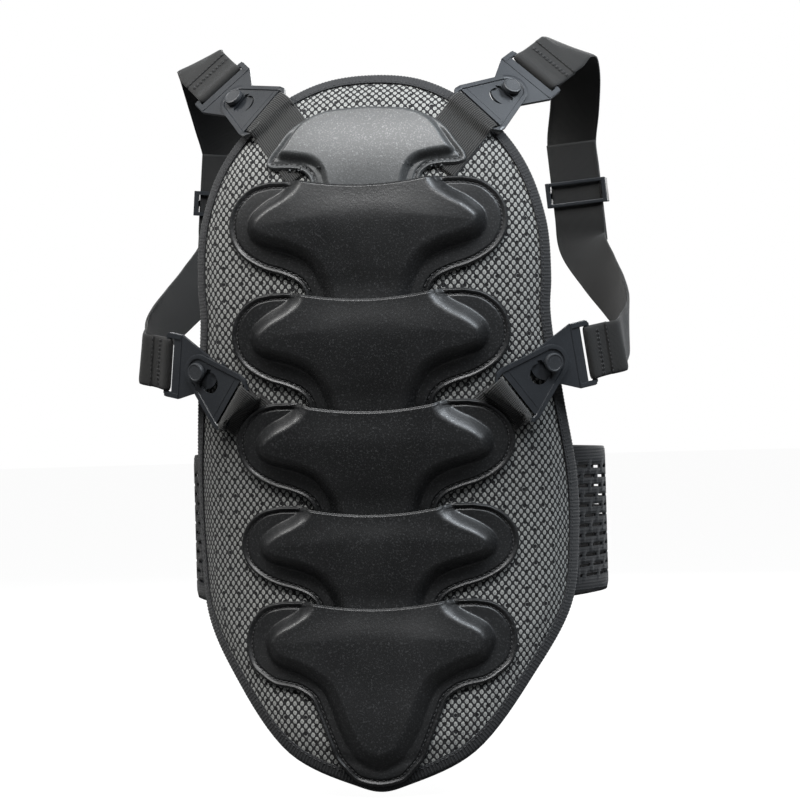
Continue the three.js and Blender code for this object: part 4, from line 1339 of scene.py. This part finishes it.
def make_band(name, route, outward, material, nodes=(), body=None, width=WEB_WIDTH, thick=WEB,
              rib=0, columns=24, step=2.0):
    """A band whose middle follows route, facing outward; both are lists of points in mm."""
    length = arc_length(route)
    count = max(2, int(length[-1] / step))
    path = spread(route, count + 1)
    steps = np.linspace(0, length[-1], count + 1)
    facing = np.stack([np.interp(steps, length, outward[:, k]) for k in range(3)], axis=-1)
    along = tangents(path)
    facing -= (facing * along).sum(1)[:, None] * along
    facing /= np.linalg.norm(facing, axis=1, keepdims=True)
    across = np.cross(along, facing)

    def lay(u, v):
        row = np.rint(v * count).astype(int)
        lift = thick / 2 - 0.45 * thick * np.abs(u) ** 14
        if rib:
            lift = lift + 0.16 * np.cos(2 * np.pi * u * width / 2 / rib)
        points = path[row] + across[row] * (u * width / 2)[:, None] + facing[row] * lift[:, None]
        return points, np.stack([u * width / 2, steps[row]], axis=-1)

    bm = laid_grid(columns, count, lay)
    bm.normal_update()
    face = min(bm.faces, key=lambda f: (f.calc_center_median() - Vector(path[0] * MM)).length)
    if face.normal.dot(Vector(facing[0])) < 0:
        bmesh.ops.reverse_faces(bm, faces=bm.faces)
    band = make_piece(name, bm, [material], nodes, body)
    give_wall(band, thick * 0.9)
    return band


def in_buckle(axes, points):
    """Points given as u, w in a buckle's own axes, as places in mm."""
    return np.array([axes @ Vector((u, 0, w)) for u, w in points]) / MM


# %% [markdown]
# ## Anchor webbing
# Each keyhole plate hangs on a loop of webbing that goes round its end bar and is sewn to the
# panel under a plate's flange. The route starts under the flange on the cover, climbs to the
# bar, goes over it, down through the slot and back below, and lies on itself to the start. The
# face of the band turns with the route, so it is worked out from the route's own bend.

# %% Anchor loops
ANCHOR_REACH = {"shoulder": 92, "side": 76}
ANCHOR_LIES = {"shoulder": (48, 58), "side": (46, 53)}
ANCHOR_TURN = {"shoulder_left": 0.55, "shoulder_right": 0.3}  # mm down for each mm out
ROUND = 0.9 + 0.35  # half the band's thickness and a little room


def side_normals(section):
    """Left-hand normals of a route drawn in the u, w plane."""
    run = np.gradient(section, axis=0)
    run /= np.linalg.norm(run, axis=1, keepdims=True)
    return np.stack([-run[:, 1], run[:, 0]], axis=-1)


def bar_loop(bar_in, bar_out, low, high, tail, drop, turn=1.35):
    """u, w points over a bar, from a tail's top layer round to its bottom layer."""
    over, under = high + ROUND, low - ROUND
    return curve_through(
        [
            (tail, drop + 1.0), (bar_out + 9, drop * 0.35 + over * 0.45),
            (bar_out + 3.2, over - 0.9), (bar_out, over), (bar_in, over),
            (bar_in - turn, (over + under) / 2), (bar_in, under), (bar_out, under),
            (bar_out + 4, under + 0.2), (bar_out + 9, drop * 0.35 + 0.2), (tail, drop - 0.9),
        ],
        10,
    )


def anchor_loop(place):
    axes = AXES[place]["keyhole"]
    reach = ANCHOR_REACH[place.split("_")[0]]
    _, bar_in, _ = KEY_SLOT
    section = bar_loop(bar_in - 0.6, KEY_END - 0.6, KEY_LOW, KEY_HIGH, reach, 0, 2.4)
    normals = side_normals(section)
    if normals[len(normals) // 5, 1] < 0:
        normals = -normals
    turned = np.stack([-section[:, 0], section[:, 1]], axis=-1)
    route = in_buckle(axes, turned)
    fall = np.maximum(section[:, 0] - KEY_END - 2, 0) * ANCHOR_TURN.get(place, 0)
    route[:, 2] -= fall
    rotation = np.array(axes.to_3x3()) / MM
    outward = (rotation @ np.stack([-normals[:, 0], 0 * normals[:, 0], normals[:, 1]])).T
    on_cover = np.stack([route[:, 0], route[:, 2]], axis=-1)
    depth = edge_depth(on_cover[:, 0], on_cover[:, 1])
    layer = np.where(np.arange(len(route)) < len(route) / 2, 0.2, -0.9)
    skin = skin_point(on_cover[:, 0], on_cover[:, 1], thickness_at(depth) + layer)
    lies = smooth(section[:, 0], *ANCHOR_LIES[place.split("_")[0]])[:, None]
    route = route * (1 - lies) + skin * lies
    flat = body_normal(on_cover[:, 0], on_cover[:, 1])
    side = np.sign((outward * flat).sum(1))[:, None]
    outward = outward * (1 - lies) + flat * side * lies
    nodes = ["anchor_webbing_" + place]
    make_band("anchor_loop_" + place, route, outward, anchor_webbing, nodes, "root",
              rib=1.6, columns=100, step=1.2)


for place in PLACES:
    anchor_loop(place)

# %% [markdown]
# ## Strap ends
# The strap goes through the stud plate's slot, round its bar and back, and is sewn to itself
# with a bar tack. When the plate swivels on its stud, the real loop bends sideways between the
# plate and the sewn end; here the loop is one fixed shape, tied to no body.

# %% Strap end loops
SEWN_AT = {"shoulder": 62.0, "side": 52.0}
STRAP_HEIGHT = 1.9


def strap_end_loop(place):
    axes = AXES[place]["strap"]
    sewn = SEWN_AT[place.split("_")[0]]
    _, bar_in, _ = STUD_SLOT
    section = bar_loop(bar_in + 0.5, STUD_END - 0.6, STUD_LOW, STUD_HIGH, sewn, STRAP_HEIGHT)
    normals = side_normals(section)
    if normals[len(normals) // 5, 1] < 0:
        normals = -normals
    route = in_buckle(axes, section)
    rotation = np.array(axes.to_3x3()) / MM
    outward = (rotation @ np.stack([normals[:, 0], 0 * normals[:, 0], normals[:, 1]])).T
    nodes = ["strap_end_" + place]
    loop = make_band("strap_loop_" + place, route, outward, strap_webbing, nodes, None,
                     columns=30, step=1.0)
    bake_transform(loop)


for place in PLACES:
    strap_end_loop(place)

# %% [markdown]
# ## Shoulder straps
# A strap leaves the shoulder buckle, goes over the shoulder and down the chest, where a slider
# joins it to the lower half that comes round under the arm from the side buckle. The routes are
# the design's. Each strap is one fixed shape, tied to no body.

# %% Strap routes
CHEST_LOW, CHEST_HIGH = np.array([147.0, 188, 32]), np.array([140.0, 184, 112])
CHEST_NORMAL = (0.1, 0.99, 0.06)
SHOULDER_ROUTE = [
    ((143.5, 109, 176.5), (0.38, -0.3, 0.87)), ((146.5, 128, 174), (0.25, 0.15, 0.95)),
    ((147, 149, 161), (0.2, 0.65, 0.73)), ((144, 170, 137), (0.15, 0.9, 0.42)),
]
UNDERARM_ROUTE = [
    ((184.5, 63, -49), (0.85, -0.5, -0.1)), ((187, 86, -41), (1, 0, 0)),
    ((184, 115, -29), (0.93, 0.35, 0)), ((174.5, 144, -13), (0.75, 0.65, 0)),
    ((161, 169, 7), (0.45, 0.88, 0.05)),
]
OVER = 3.8
STATION_STEPS = 14
TOP_LAYER = STRAP_HEIGHT + 1.0


def strap(place, route, chest, lift, name, node):
    side = 1 if place.endswith("right") else -1
    axes = AXES[place]["strap"]
    sewn = SEWN_AT[place.split("_")[0]]
    mirror = np.array([side, 1, 1])
    normal = np.array(axes.to_3x3().col[2]) / MM
    start = np.array(axes @ Vector((sewn - 3, 0, TOP_LAYER - lift))) / MM
    lead = np.array(axes @ Vector((sewn + 8, 0, TOP_LAYER - 0.6 - lift))) / MM
    stations = [(start, normal), (lead, normal)]
    stations += [(np.array(at) * mirror, np.array(out) * mirror) for at, out in route]
    for share in (0, 0.25, 0.5, 0.75, 1):
        at = chest[0] + (chest[1] - chest[0]) * share
        stations.append((at * mirror, np.array(CHEST_NORMAL) * mirror))
    middle = curve_through([at for at, _ in stations], STATION_STEPS)
    index = np.arange(len(middle)) / STATION_STEPS
    facings = np.array([out / np.linalg.norm(out) for _, out in stations])
    marks = np.arange(len(facings))
    outward = np.stack([np.interp(index, marks, facings[:, k]) for k in range(3)], axis=-1)
    along = tangents(middle)
    outward -= (outward * along).sum(1)[:, None] * along
    outward /= np.linalg.norm(outward, axis=1, keepdims=True)
    route = middle + outward * (lift + WEB / 2)
    band = make_band(name, route, outward, strap_webbing, [node], None, columns=24, step=2.0)
    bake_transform(band)


for side in ("left", "right"):
    for buckle, route, chest, lift, half in (
        ("shoulder", SHOULDER_ROUTE, (CHEST_HIGH, CHEST_LOW), OVER, "upper"),
        ("side", UNDERARM_ROUTE, (CHEST_LOW, CHEST_HIGH), 0, "lower"),
    ):
        node = f"shoulder_strap_{half}_{side}"
        strap(f"{buckle}_{side}", route, chest, lift, f"strap_{half}_band_{side}", node)

# %% [markdown]
# ## Strap sliders
# The slider is a small ladder of plastic: two rails and three bars. Its plain solid already has
# the right shape, so a copy is merged, its flat faces are joined up again and every edge is
# eased with a bevel.


# %% Sliders
def ease_plastic(node, name, body, width):
    bm = bmesh.new()
    bm.from_mesh(frame["nodes"][node].data)
    bmesh.ops.remove_doubles(bm, verts=bm.verts, dist=1e-5)
    bmesh.ops.dissolve_limit(bm, angle_limit=0.02, verts=bm.verts, edges=bm.edges)
    bmesh.ops.bevel(
        bm, geom=bm.edges[:], offset=width * MM, offset_type="OFFSET", segments=3, profile=0.5,
        affect="EDGES", material=-1, clamp_overlap=True,
    )
    piece = make_piece(name, bm, [buckle_skin], [node], body)
    keep_creases(piece)


for side in ("left", "right"):
    ease_plastic("strap_slider_" + side, "slider_moulding_" + side, "strap_slider_" + side, 0.7)

# %% [markdown]
# ## Waist belt
# The belt is a wide elastic with rows of vent slits over the ribs. Two roots are sewn behind the
# panel, a wing goes round each side, and a tab closes them in front with hook and loop. The
# slits are real openings: their cells of the grid are deleted before the cloth is laid round
# the waist. Each wing starts at its seam and is one fixed shape, tied to no body.

# %% Belt plan
BELT_PLAN = [
    (118, 52), (131, 72), (141, 86), (152, 106), (161, 133), (157, 168), (138, 198), (104, 217),
    (60, 227), (18, 230),
]
BELT = 2.5
ROOT_LOW, ROOT_HIGH, FRONT_LOW, FRONT_HIGH = -246, -127, -235, -138
SEAM_AT = 0.06
TAB_LOW = 5.4
CLIMB = (0.36, 0.43)
SLIT_PITCH, SLIT_SHARE = 7.5, 0.3
SLIT_LENGTH, SLIT_BRIDGE = 17.0, 5.0
VENTED = (0.075, 0.235)
belt_line = curve_through(BELT_PLAN + [(-x, y) for x, y in BELT_PLAN[::-1]], 16)
belt_length = arc_length(belt_line)


def belt_place(t):
    far = t * belt_length[-1]
    at = np.stack([np.interp(far, belt_length, belt_line[:, k]) for k in (0, 1)], axis=-1)
    run = tangents(belt_line)
    along = np.stack([np.interp(far, belt_length, run[:, k]) for k in (0, 1)], axis=-1)
    return at, along / np.linalg.norm(along, axis=1, keepdims=True)


def belt_at(x):
    """Where along the belt, from 0 to 1, its front stretch reaches x."""
    front = (belt_length / belt_length[-1] > 0.35) & (belt_length / belt_length[-1] < 0.65)
    return float(np.interp(-x, -belt_line[front, 0], belt_length[front] / belt_length[-1]))


def slit_levels(height):
    """Heights of the grid's rows, from 0 to 1: cloth, slit, cloth, slit and so on."""
    count = int(height / SLIT_PITCH)
    levels = []
    for k in range(count):
        levels += [k / count, (k + 1 - SLIT_SHARE) / count]
    return np.array(levels + [1.0])


# %% Belt pieces
def belt_band(name, first, last, lift, thick, material, node, margin=0, vents=False):
    columns = max(4, int(abs(last - first) * belt_length[-1] / 2.2))
    levels = slit_levels(ROOT_HIGH - ROOT_LOW)
    rows = len(levels) - 1

    def in_slit(u, v):
        t = first + (last - first) * (u + 1) / 2
        row = int(v * rows)
        side = min(t, 1 - t)
        if row % 2 == 0 or not VENTED[0] < side < VENTED[1] or row < 3 or row > rows - 4:
            return False
        pitch = SLIT_LENGTH + SLIT_BRIDGE
        stagger = pitch / 2 * (row // 2 % 2)
        return (side * belt_length[-1] + stagger) % pitch < SLIT_LENGTH

    def lay(u, v):
        t = first + (last - first) * (u + 1) / 2
        front = np.minimum(1, 2 * np.minimum(t, 1 - t))
        low = ROOT_LOW + (FRONT_LOW - ROOT_LOW) * front + margin
        high = ROOT_HIGH + (FRONT_HIGH - ROOT_HIGH) * front - margin
        level = levels[np.rint(v * rows).astype(int)]
        z = low + (high - low) * level
        at, along = belt_place(t)
        out = np.stack([along[:, 1], -along[:, 0]], axis=-1)
        roll = 0.45 * thick * np.maximum(np.abs(2 * level - 1) ** 30, 0)
        flat = at + out * (lift(t) + thick - roll)[:, None]
        points = np.stack([flat[:, 0], flat[:, 1], z], axis=-1)
        return points, np.stack([z, t * belt_length[-1]], axis=-1)

    bm = laid_grid(columns, rows, lay, in_slit if vents else None)
    centre = np.array([0, 120, 0])
    turn_outwards(bm, lambda points: (points - centre) * np.array([1, 1, 0]))
    piece = make_piece(name, bm, [material], [node])
    give_wall(piece, thick * 0.92)
    return piece


def climb(t):
    return TAB_LOW * smooth(1 - t, *CLIMB)


def flush(t):
    return 0 * t


WING_ENDS = {"right": -30, "left": -38.5}  # x where each wing ends, in front
for side, from_end, sign, lift in (("right", 0, 1, flush), ("left", 1, -1, climb)):
    tip = belt_at(WING_ENDS[side])
    at_seam = from_end + sign * SEAM_AT
    root = belt_band(f"belt_root_{side}_elastic", from_end, at_seam, flush, BELT, belt_elastic,
                     "belt_root_" + side)
    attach(root, "root")
    wing = belt_band(f"belt_wing_{side}_elastic", at_seam, tip, lift, BELT, belt_elastic,
                     "belt_wing_" + side, vents=True)
    place, along = belt_place(np.array([at_seam]))
    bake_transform(wing)

# %% Tab and patches
TAB_ENDS, PATCH_ENDS = (48, -37.5), (44, -26)  # x of each end, in front
PATCH_MARGIN, PATCH = 12, 1.0
PATCHES = (("loop_patch", 2.8, "belt_wing_right"), ("hook_patch", 4.1, "belt_tab"))


def raised(height):
    return lambda t: height + flush(t)


first, last = (belt_at(x) for x in TAB_ENDS)
tab = belt_band("belt_tab_elastic", first, last, raised(TAB_LOW), BELT, belt_elastic,
                "belt_tab")
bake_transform(tab)
first, last = (belt_at(x) for x in PATCH_ENDS)
for node, height, body in PATCHES:
    patch = belt_band(node + "_pile", first, last, raised(height), PATCH, loop_pile,
                      node, PATCH_MARGIN)
    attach(patch, body)

# %% [markdown]
# ## Bar tacks
# Where webbing is sewn to itself it is closed by a bar tack: a dense zigzag of thread across the
# band. A few rows of small stitches show it.

# %% Tacks on the straps
TACK_ROWS = (-5.0, -3.6, 3.5)


def tack_strap(place):
    axes = AXES[place]["strap"]
    sewn = SEWN_AT[place.split("_")[0]]
    turn = np.array(axes.to_3x3()) / MM
    bm = bmesh.new()
    for row in TACK_ROWS:
        across = np.arange(-WEB_WIDTH / 2 + 2.5, WEB_WIDTH / 2 - 2, STITCH_PITCH * 0.85)
        spots = np.array(
            [axes @ Vector((sewn - 6 + row, v, TOP_LAYER + WEB / 2 + 0.95)) for v in across]
        )
        runs = np.tile(turn[:, 1], (len(spots), 1))
        outs = np.tile(turn[:, 2], (len(spots), 1))
        add_stitches(bm, spots / MM, runs, outs)
    tack = make_piece("strap_tack_" + place, bm, [thread])
    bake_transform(tack)


for place in PLACES:
    tack_strap(place)
